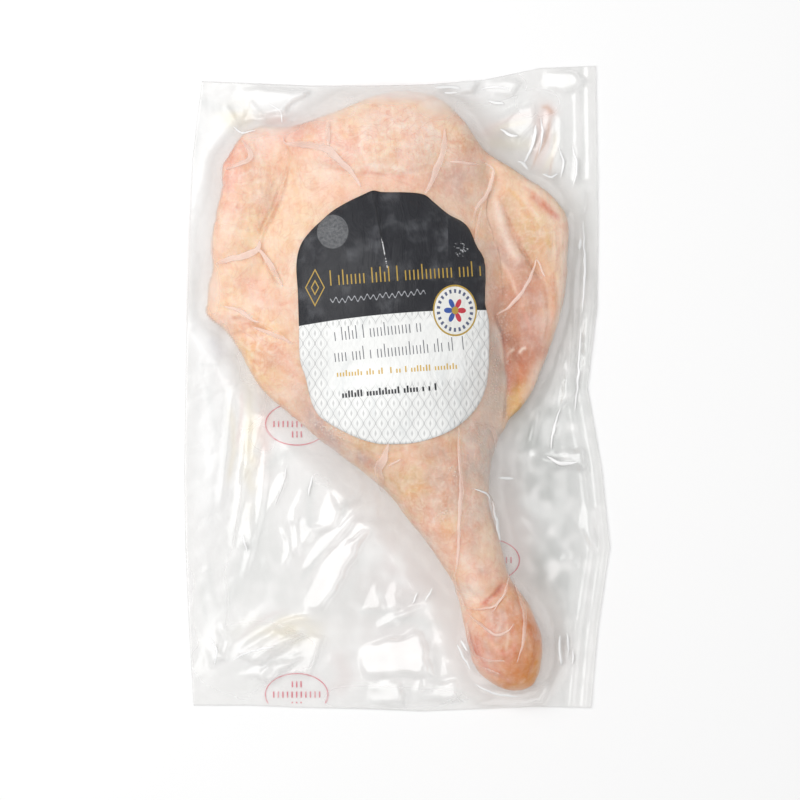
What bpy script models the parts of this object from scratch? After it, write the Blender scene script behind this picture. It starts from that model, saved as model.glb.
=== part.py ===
"""Raw duck leg, vacuum packed flat in a clear film bag, with a paper label laid on the thigh.

Frame: metres, +Z up. The pack lies on the plane Z = 0 with the skin side up. +Y runs from the knuckle
end to the thigh end, and the origin is under the middle of the bag. Sizes below are in millimetres.
"""

import math

import bmesh
import bpy
import numpy as np
from mathutils import Vector
from mathutils.bvhtree import BVHTree

MM = 0.001

# ---------------------------------------------------------------- driving dimensions (mm)

BAG_HALF_LENGTH = 138.0
FILM_THICK = 0.8
BAG_CELL = 5.4
SEAL_HEIGHT = 0.9  # the sealed edge of the bag over the table
FILM_RISE_REACH = 17.0  # how far from the leg the film still hangs up at the leg's rim
FILM_RISE_CURVE = 1.4  # 1 falls at once from the rim, and more stays up first
FILM_FOLD_CURVE = 1.3  # 1 is a sharp ridge, and more has a thinner crest
LEG_GAP = 0.6  # between the leg's rim and the film border round it
HOLE_CUTTER = (-20.0, 60.0)  # heights that the cutter of the leg's hole spans

PILLOW_THICK = 12.0
PILLOW_ROUND = 5.2
PILLOW_VOXEL = 2.0
LEG_TRIANGLES = 6500
FOOT_CUT = 0.5  # sliced off the belly, so that the leg lies on one flat face

LABEL_GAP = 0.35
LABEL_THICK = 0.4
LABEL_SPAN = 1.8  # the hollows that the paper spans
LABEL_CENTRE = (-2.0, 31.0)
LABEL_SPOKES = 44
LABEL_RINGS = 9

# The leg's outline seen from above, clockwise from the left shoulder, in runs that each follow one part.
LEG_EDGE = {
    "thigh_top": [(-64.0, 108.5), (-50.5, 109.5), (-36.5, 114.0), (-19.5, 120.5), (-1.0, 127.0),
                  (16.0, 124.5), (28.0, 115.0), (37.0, 102.0)],
    "right_flap": [(52.5, 92.0), (67.5, 81.0), (73.0, 67.5), (72.0, 42.0), (65.0, 15.5),
                   (55.0, -6.5), (47.0, -15.5)],
    "shank_right": [(41.0, -28.5), (39.0, -45.5), (42.5, -60.0), (48.0, -79.5)],
    "knuckle": [(57.0, -93.0), (61.5, -111.0), (58.0, -126.0), (47.0, -128.5), (33.5, -119.5),
                (28.5, -102.5)],
    "shank_left": [(24.0, -83.0), (10.0, -62.5), (-6.0, -42.5), (-24.0, -28.5)],
    "lower_left": [(-41.0, -15.5), (-57.5, -0.5), (-69.5, 19.5), (-76.5, 29.5)],
    "left_flap": [(-81.0, 41.0), (-78.5, 51.5), (-79.5, 63.0), (-75.0, 84.5), (-74.0, 96.0)],
}

# Meat and bone under the skin: (centre, half sizes, height over the table, turn in degrees).
THIGH = ((-5.0, 38.0), (60.0, 64.0), 34.0, 0.0)
THIGH_TOP_LOBE = ((-6.0, 98.0), (56.0, 36.0), 23.0, 4.0)
LEFT_FLAP = ((-66.0, 66.0), (26.0, 50.0), 16.0, -4.0)
LOWER_LEFT_FLAP = ((-50.0, 18.0), (24.0, 44.0), 16.0, 38.0)
RIGHT_FLAP = ((56.0, 48.0), (26.0, 58.0), 16.5, 8.0)
KNUCKLE = ((46.0, -106.0), (20.0, 27.0), 23.0, 12.0)
# The shank tapers from the knee to the ankle: (place, half width, height over the table).
KNEE = ((2.0, -8.0), 45.0, 33.0)
ANKLE = ((41.0, -90.0), 16.0, 18.5)
FLAP_HEIGHT = 9.0  # of skin and fat with no meat under it
LEAST_HEIGHT = 6.0  # in the deepest crease
ROUNDNESS = 0.72  # of a form's side: 0.5 is an ellipsoid, 1 is a paraboloid
SHANK_TAPER = 0.8  # 1 narrows evenly, and less narrows most below the knee
BLEND = 7.0  # how softly one form runs into the next
CREASE_BLEND = 1.5  # how softly a crease bottoms out
RIM_LIFT = 0.16  # share of the height by which the underside has lifted at the rim
BELLY_EDGE = 11.0  # how far in from the rim the underside starts to lift

# Creases in the skin: (depth, half width, the line it follows).
CREASES = [
    (3.6, 3.2, [(-46.0, 104.0), (-46.0, 92.0), (-52.0, 76.0), (-59.0, 62.5), (-55.0, 51.0), (-49.0, 42.0)]),
    (2.0, 2.6, [(-80.0, 51.0), (-70.0, 56.0), (-60.0, 59.5)]),
    (2.6, 2.8, [(-79.0, 34.0), (-66.0, 34.0), (-55.0, 28.0), (-44.0, 20.0)]),
    (2.0, 4.5, [(-36.0, 94.0), (-20.0, 90.0), (0.0, 89.5), (14.0, 92.0), (22.0, 100.0)]),
    (4.0, 3.0, [(38.0, 101.0), (40.0, 86.0), (37.0, 74.0), (43.0, 56.0), (44.0, 32.0), (47.0, 8.0),
                (47.0, -14.0)]),
    (1.8, 2.2, [(44.0, 80.0), (50.0, 66.0), (58.0, 54.0), (64.0, 45.0)]),
    (2.2, 3.0, [(26.0, -86.0), (36.0, -90.0), (47.0, -84.0)]),
]

# The bag's four edges: how far each stands off its straight line, at even steps along it.
BAG_TOP_EDGE = [131.5, 130.5, 129.5, 129.5, 130.0, 132.0, 137.0, BAG_HALF_LENGTH]
BAG_FOOT_EDGE = [-135.5, -135.5, -136.5, -137.0, -BAG_HALF_LENGTH, -137.0, -136.0, -136.5]
BAG_LEFT_EDGE = [-87.0, -89.0, -90.5, -91.0, -90.5, -90.0, -89.0, -87.5, -83.5]
BAG_RIGHT_EDGE = [83.0, 86.0, 91.0, 87.5, 81.5, 85.5, 86.0, 85.5, 85.0]

# Folds of the slack film: (height, half width, the line it follows).
FILM_FOLDS = [
    (3.2, 5.0, [(-26.0, -34.0), (-32.0, -58.0), (-40.0, -80.0)]),
    (3.4, 5.5, [(-8.0, -48.0), (-22.0, -72.0), (-34.0, -92.0)]),
    (2.6, 5.0, [(-56.0, -8.0), (-58.0, -34.0), (-64.0, -62.0)]),
    (2.2, 5.0, [(-78.0, 10.0), (-74.0, -20.0), (-72.0, -50.0)]),
    (2.6, 5.5, [(-74.0, -118.0), (-50.0, -101.0), (-24.0, -100.0)]),
    (2.0, 5.0, [(10.0, -90.0), (4.0, -108.0), (8.0, -130.0)]),
    (2.2, 5.0, [(26.0, -118.0), (14.0, -122.0), (-12.0, -120.0)]),
    (3.0, 5.0, [(64.0, 108.0), (52.0, 104.0), (42.0, 100.0)]),
    (3.4, 5.0, [(62.0, 112.0), (58.0, 98.0), (56.0, 92.0)]),
    (3.0, 5.0, [(66.0, 114.0), (72.0, 98.0), (72.0, 84.0)]),
    (2.4, 4.5, [(78.0, 116.0), (79.0, 70.0), (78.0, 20.0), (74.0, -8.0)]),
    (2.6, 5.0, [(66.0, 10.0), (60.0, -16.0), (68.0, -30.0), (80.0, -30.0)]),
    (1.8, 6.0, [(52.0, -50.0), (70.0, -60.0), (86.0, -64.0)]),
    (2.2, 5.0, [(70.0, -122.0), (74.0, -100.0), (80.0, -84.0)]),
    (2.2, 4.5, [(-66.0, 110.0), (-72.0, 118.0), (-80.0, 126.0)]),
    (1.8, 4.5, [(22.0, 124.0), (34.0, 118.0), (46.0, 112.0)]),
]

LABEL_EDGE = [(-9.8, 83.3), (0.0, 82.9), (9.8, 82.0), (15.5, 79.0), (21.5, 73.5), (30.5, 66.8),
              (34.0, 58.9), (37.0, 51.0), (37.2, 37.0), (38.7, 26.0), (38.8, 12.0), (37.8, 2.0),
              (34.5, -5.5), (27.0, -13.0), (16.5, -19.8), (-1.7, -23.4), (-15.0, -21.2),
              (-30.0, -12.5), (-36.0, -4.5), (-38.5, 5.5), (-41.2, 25.0), (-42.5, 45.0), (-41.4, 57.5),
              (-34.4, 68.0), (-24.0, 77.3)]
LABEL_FIELDS_MEET = 33.0  # where the dark print over the pale print ends, at the label's right
LABEL_FIELDS_SAG = 6.8  # how much lower that line comes at the label's left

# ---------------------------------------------------------------- colours (red, green, blue, alpha)

SKIN_COLOUR = (0.83, 0.58, 0.44, 1.0)
FILM_COLOUR = (0.93, 0.94, 0.94, 0.3)
LABEL_DARK = (0.035, 0.037, 0.045, 1.0)
LABEL_PALE = (0.88, 0.88, 0.87, 1.0)


# ---------------------------------------------------------------- curves and distances


def smooth_loop(points, per_span=5):
    """A closed Catmull-Rom curve through points, as an array of places along it."""
    p = np.array(points, float)
    t = np.arange(per_span)[:, None, None] / per_span
    before, here, after, beyond = np.roll(p, 1, 0), p, np.roll(p, -1, 0), np.roll(p, -2, 0)
    places = 0.5 * (
        2 * here
        + (after - before) * t
        + (2 * before - 5 * here + 4 * after - beyond) * t**2
        + (3 * here - before - 3 * after + beyond) * t**3
    )
    return places.transpose(1, 0, 2).reshape(-1, 2)


def widened(loop, by):
    """A clockwise loop moved outwards by a small distance."""
    along = np.roll(loop, -1, 0) - np.roll(loop, 1, 0)
    outwards = np.stack([-along[:, 1], along[:, 0]], 1)
    return loop + by * outwards / np.linalg.norm(outwards, axis=1, keepdims=True)


def distance_to_line(places, line):
    """Distance from each place to an open line of straight runs, and how far along it that is, 0 to 1."""
    line = np.array(line, float)
    best = np.full(len(places), np.inf)
    share = np.zeros(len(places))
    runs = len(line) - 1
    for i, (a, b) in enumerate(zip(line[:-1], line[1:])):
        along = b - a
        t = np.clip((places - a) @ along / (along @ along), 0, 1)
        gap = np.linalg.norm(places - (a + t[:, None] * along), axis=1)
        nearer = gap < best
        best = np.where(nearer, gap, best)
        share = np.where(nearer, (i + t) / runs, share)
    return best, share


def distance_to_loop(places, loop):
    """Distance from each place to a closed loop."""
    return distance_to_line(places, np.vstack([loop, loop[:1]]))[0]


def soft_max(a, b, blend=BLEND):
    """The higher of two heights, with a fillet in the valley where they cross."""
    share = np.clip(0.5 + 0.5 * (a - b) / blend, 0, 1)
    return b + (a - b) * share + blend * share * (1 - share)


def ramp(value, low, high):
    """0 below low, 1 above high, and smooth between."""
    t = np.clip((value - low) / (high - low), 0, 1)
    return t * t * (3 - 2 * t)


# ---------------------------------------------------------------- heights


def dome(places, form):
    """A rounded mound, turned about its centre."""
    (cx, cy), (half_x, half_y), height, turn = form
    c, s = math.cos(math.radians(turn)), math.sin(math.radians(turn))
    x, y = places[:, 0] - cx, places[:, 1] - cy
    across, along = (c * x + s * y) / half_x, (-s * x + c * y) / half_y
    return height * np.clip(1 - across**2 - along**2, 0, 1) ** ROUNDNESS


def shank_height(places):
    """A round bar that tapers from the knee to the ankle."""
    (knee, knee_half, knee_height), (ankle, ankle_half, ankle_height) = KNEE, ANKLE
    gap, share = distance_to_line(places, [knee, ankle])
    half = knee_half + (ankle_half - knee_half) * share**SHANK_TAPER
    height = knee_height + (ankle_height - knee_height) * share
    return height * np.clip(1 - (gap / half) ** 2, 0, 1) ** ROUNDNESS


def skin_height(places):
    """The leg's upper side over the table, before its edge is rounded."""
    height = np.full(len(places), FLAP_HEIGHT)
    for form in (LEFT_FLAP, LOWER_LEFT_FLAP, RIGHT_FLAP, THIGH_TOP_LOBE, THIGH, KNUCKLE):
        height = soft_max(height, dome(places, form))
    height = soft_max(height, shank_height(places))
    for depth, half_width, line in CREASES:
        gap, share = distance_to_line(places, line)
        ends = ramp(share, 0.0, 0.12) * (1 - ramp(share, 0.88, 1.0))
        height = height - depth * ends * np.exp(-((gap / half_width) ** 2))
    return soft_max(height, LEAST_HEIGHT, CREASE_BLEND)


def belly_height(places, leg_loop):
    """The leg's underside: flat, and lifting towards the rim."""
    inwards = distance_to_loop(places, leg_loop)
    return RIM_LIFT * skin_height(places) * (1 - ramp(inwards, 0.0, BELLY_EDGE))


def film_height(places, leg_loop):
    """The middle of the bag's film border: at the leg's rim beside the leg, and down at the sealed edge."""
    outwards = distance_to_loop(places, leg_loop)
    nearest = leg_loop[np.argmin(np.linalg.norm(places[:, None] - leg_loop[None], axis=2), axis=1)]
    rim = (0.5 + RIM_LIFT / 2) * skin_height(nearest)
    height = SEAL_HEIGHT + (rim - SEAL_HEIGHT) * np.exp(-((outwards / FILM_RISE_REACH) ** FILM_RISE_CURVE))
    for tall, half_width, line in FILM_FOLDS:
        gap, share = distance_to_line(places, line)
        ends = ramp(share, 0.0, 0.25) * (1 - ramp(share, 0.7, 1.0))
        height = height + tall * ends * np.clip(1 - gap / half_width, 0, 1) ** FILM_FOLD_CURVE
    return height


# ---------------------------------------------------------------- mesh helpers


def material(name, colour, roughness, metallic=0.0):
    """A plain finish. The colour's fourth value is its alpha."""
    made = bpy.data.materials.new(name)
    made.use_nodes = True
    shader = made.node_tree.nodes["Principled BSDF"]
    shader.inputs["Base Color"].default_value = colour
    shader.inputs["Roughness"].default_value = roughness
    shader.inputs["Metallic"].default_value = metallic
    shader.inputs["Alpha"].default_value = colour[3]
    made.diffuse_color = colour
    return made


def object_from(bm, name, *materials):
    """A scene object that holds the bmesh, which is freed."""
    mesh = bpy.data.meshes.new(name)
    bm.to_mesh(mesh)
    bm.free()
    for each in materials:
        mesh.materials.append(each)
    made = bpy.data.objects.new(name, mesh)
    bpy.context.scene.collection.objects.link(made)
    return made


def taken(obj):
    """The object's evaluated mesh as a bmesh. The object is removed."""
    bm = bmesh.new()
    bm.from_object(obj, bpy.context.evaluated_depsgraph_get())
    bpy.data.objects.remove(obj)
    return bm


def places_of(bm):
    return np.array([v.co for v in bm.verts]) / MM


def move_to(bm, places):
    for vert, place in zip(bm.verts, places * MM):
        vert.co = place


def prism(loop, low, high):
    """A straight-sided block with the loop as its outline, between two heights."""
    bm = bmesh.new()
    floor = bm.faces.new([bm.verts.new((x * MM, y * MM, low * MM)) for x, y in loop])
    side = bmesh.ops.extrude_face_region(bm, geom=[floor])
    raised = [g for g in side["geom"] if isinstance(g, bmesh.types.BMVert)]
    bmesh.ops.translate(bm, verts=raised, vec=(0, 0, (high - low) * MM))
    bmesh.ops.recalc_face_normals(bm, faces=bm.faces)
    return bm


# ---------------------------------------------------------------- the parts


def make_leg(leg_loop):
    """The whole leg in one piece: a rounded pillow with the leg's outline, pressed to its heights."""
    bm = prism(leg_loop, 0.0, PILLOW_THICK)
    rims = [e for e in bm.edges if abs(e.verts[0].co.z - e.verts[1].co.z) < MM * 0.01]
    bmesh.ops.bevel(bm, geom=rims, offset=PILLOW_ROUND * MM, offset_type="OFFSET", segments=4,
                    profile=0.5, affect="EDGES", material=-1, clamp_overlap=True)
    pillow = object_from(bm, "pillow")
    remesh = pillow.modifiers.new("even_mesh", "REMESH")
    remesh.mode = "VOXEL"
    remesh.voxel_size = PILLOW_VOXEL * MM

    bm = taken(pillow)
    p = places_of(bm)
    share = np.clip(p[:, 2] / PILLOW_THICK, 0, 1)
    low, high = belly_height(p[:, :2], leg_loop), skin_height(p[:, :2])
    p[:, 2] = low + share * (high - low)
    move_to(bm, p)
    bmesh.ops.smooth_vert(bm, verts=bm.verts, factor=0.5, use_axis_x=True, use_axis_y=True, use_axis_z=True)
    pressed = object_from(bm, "pressed")
    fewer = pressed.modifiers.new("fewer_faces", "DECIMATE")
    fewer.ratio = LEG_TRIANGLES / (2 * len(pressed.data.polygons))

    bm = taken(pressed)
    cut = bmesh.ops.bisect_plane(bm, geom=[*bm.verts, *bm.edges, *bm.faces], dist=1e-7,
                                 plane_co=(0, 0, FOOT_CUT * MM), plane_no=(0, 0, 1), clear_inner=True)
    rim = [g for g in cut["geom_cut"] if isinstance(g, bmesh.types.BMEdge)]
    foot = bmesh.ops.contextual_create(bm, geom=rim)["faces"]
    bmesh.ops.triangulate(bm, faces=foot)
    bmesh.ops.translate(bm, verts=bm.verts, vec=(0, 0, -FOOT_CUT * MM))
    bmesh.ops.recalc_face_normals(bm, faces=bm.faces)
    leg = object_from(bm, "duck_leg", material("raw_skin", SKIN_COLOUR, 0.35))
    leg.data.shade_smooth()
    leg.data.set_sharp_from_angle(angle=math.radians(50))
    return leg


def edge_at(steps, share):
    """Where a bag edge stands at a share of the way along it."""
    return np.interp(share, np.linspace(0, 1, len(steps)), steps)


def make_film_border(leg_loop):
    """The two films where they lie together round the leg, as one thin wavy sheet with the leg's hole."""
    columns = round(2 * max(BAG_RIGHT_EDGE) / BAG_CELL)
    rows = round(2 * BAG_HALF_LENGTH / BAG_CELL)
    bm = bmesh.new()
    bmesh.ops.create_grid(bm, x_segments=columns, y_segments=rows, size=0.5)
    grid = np.array([v.co for v in bm.verts])
    across, up = grid[:, 0] + 0.5, grid[:, 1] + 0.5
    left, right = edge_at(BAG_LEFT_EDGE, up), edge_at(BAG_RIGHT_EDGE, up)
    foot, top = edge_at(BAG_FOOT_EDGE, across), edge_at(BAG_TOP_EDGE, across)
    p = np.stack([left + (right - left) * across, foot + (top - foot) * up, np.zeros(len(grid))], 1)
    p[:, 2] = film_height(p[:, :2], leg_loop) - FILM_THICK / 2
    move_to(bm, p)
    bmesh.ops.triangulate(bm, faces=bm.faces)
    bag = object_from(bm, "film_bag", material("clear_film", FILM_COLOUR, 0.08))
    thick = bag.modifiers.new("film_thickness", "SOLIDIFY")
    thick.thickness = FILM_THICK * MM
    thick.offset = 1.0

    cutter = object_from(prism(widened(leg_loop, LEG_GAP), *HOLE_CUTTER), "leg_hole_cutter")
    cutter.hide_render = True
    cutter.display_type = "WIRE"
    hole = bag.modifiers.new("leg_hole", "BOOLEAN")
    hole.operation = "DIFFERENCE"
    hole.solver = "EXACT"
    hole.object = cutter
    bag.data.shade_smooth()


def make_label(leg):
    """The paper label, a rounded sheet that follows the thigh under it."""
    edge = smooth_loop(LABEL_EDGE, 8)
    spokes = edge[np.linspace(0, len(edge), LABEL_SPOKES, endpoint=False).astype(int)]
    centre = np.array(LABEL_CENTRE)
    leg_surface = BVHTree.FromObject(leg, bpy.context.evaluated_depsgraph_get())

    def on_skin(x, y):
        """The place over the highest skin near by, so that the paper spans small hollows."""
        steps = (-LABEL_SPAN, 0.0, LABEL_SPAN)
        starts = [Vector(((x + dx) * MM, (y + dy) * MM, 1.0)) for dx in steps for dy in steps]
        high = max(leg_surface.ray_cast(start, Vector((0, 0, -1)))[0].z for start in starts)
        return (x * MM, y * MM, high + LABEL_GAP * MM)

    bm = bmesh.new()
    rings = []
    for k in range(1, LABEL_RINGS + 1):
        ring = centre + (spokes - centre) * k / LABEL_RINGS
        verts = [bm.verts.new(on_skin(x, y)) for x, y in ring]
        rings.append([bm.edges.new((a, b)) for a, b in zip(verts, verts[1:] + verts[:1])])
    for inner, outer in zip(rings, rings[1:]):
        bmesh.ops.bridge_loops(bm, edges=inner + outer)
    middle = bm.verts.new(on_skin(*centre))
    for edge_in in rings[0]:
        bm.faces.new((*edge_in.verts, middle))
    bmesh.ops.recalc_face_normals(bm, faces=bm.faces)
    if sum(f.normal.z for f in bm.faces) < 0:
        bmesh.ops.reverse_faces(bm, faces=bm.faces)
    for face in bm.faces:
        spot = face.calc_center_median() / MM
        along = (spokes[:, 0].max() - spot.x) / np.ptp(spokes[:, 0])
        face.material_index = int(spot.y < LABEL_FIELDS_MEET - LABEL_FIELDS_SAG * along**2)
    bmesh.ops.triangulate(bm, faces=bm.faces)
    label = object_from(bm, "paper_label", material("label_dark_print", LABEL_DARK, 0.4),
                        material("label_pale_print", LABEL_PALE, 0.45))
    thick = label.modifiers.new("paper_thickness", "SOLIDIFY")
    thick.thickness = LABEL_THICK * MM
    thick.offset = 1.0
    label.data.shade_smooth()


def main():
    for old in list(bpy.data.objects):
        bpy.data.objects.remove(old)
    leg_loop = smooth_loop([place for run in LEG_EDGE.values() for place in run])
    leg = make_leg(leg_loop)
    make_film_border(leg_loop)
    make_label(leg)


main()
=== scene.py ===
"""The looks of a vacuum-packed raw duck leg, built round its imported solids.

The leg gets its skin, the label its print and the bag its two clear films with their folds. Places are in
millimetres in the part's own frame: X to the right, Y towards the thigh, Z up from the table.
"""

import math

import bmesh
import bpy
import numpy as np
from bpy.props import FloatProperty, FloatVectorProperty, PointerProperty
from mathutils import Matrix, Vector, noise
from mathutils.bvhtree import BVHTree


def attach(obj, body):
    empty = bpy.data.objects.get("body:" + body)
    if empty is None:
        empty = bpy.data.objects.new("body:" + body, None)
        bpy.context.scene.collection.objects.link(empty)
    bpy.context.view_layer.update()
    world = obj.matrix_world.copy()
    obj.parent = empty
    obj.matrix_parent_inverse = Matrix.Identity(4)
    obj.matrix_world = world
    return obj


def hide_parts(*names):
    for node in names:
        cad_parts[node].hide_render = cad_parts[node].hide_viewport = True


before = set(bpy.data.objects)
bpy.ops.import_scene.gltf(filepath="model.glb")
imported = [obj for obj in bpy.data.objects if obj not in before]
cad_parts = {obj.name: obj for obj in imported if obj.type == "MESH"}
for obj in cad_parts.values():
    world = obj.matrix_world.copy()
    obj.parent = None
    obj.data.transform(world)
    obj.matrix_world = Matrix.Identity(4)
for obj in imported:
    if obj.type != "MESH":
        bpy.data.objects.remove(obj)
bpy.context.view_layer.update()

bl_info = {
    "name": "Vacuum-packed duck leg",
    "version": (1, 0, 0),
    "blender": (4, 5, 0),
    "location": "3D View > Sidebar > Duck Leg",
    "description": "Builds a raw duck leg in its clear vacuum bag, piece by piece",
    "category": "Mesh",
}

MM = 0.001
LINE_STEP = 3.0  # how far apart a smooth line's places are, where colour or relief follows it
FOLD_STEP = 4.0  # and where a fold of the film does

# ---------------------------------------------------------------- colours


def seen(red, green, blue):
    """A colour given as 0 to 255 on screen, as the linear colour that a shader takes."""
    steps = np.array([red, green, blue]) / 255
    linear = np.where(steps > 0.04045, ((steps + 0.055) / 1.055) ** 2.4, steps / 12.92)
    return (*linear.tolist(), 1.0)


# The skin's colours, as they look in soft white light.
SKIN = {
    "cream": seen(241, 210, 185),
    "pale": seen(248, 230, 216),
    "peach": seen(246, 210, 176),
    "pink": seen(240, 182, 164),
    "rose": seen(226, 158, 140),
    "red": seen(208, 112, 92),
    "fat": seen(247, 212, 160),
    "yellow": seen(230, 188, 106),
    "ochre": seen(212, 168, 92),
    "gold": seen(218, 138, 6),
    "orange": seen(224, 150, 104),
    "amber": seen(202, 112, 44),
    "clay": seen(170, 108, 82),
    "rust": seen(182, 116, 84),
    "tan": seen(208, 178, 138),
    "mauve": seen(208, 172, 160),
    "violet": seen(180, 158, 156),
    "frosted": seen(186, 180, 174),
}

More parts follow.
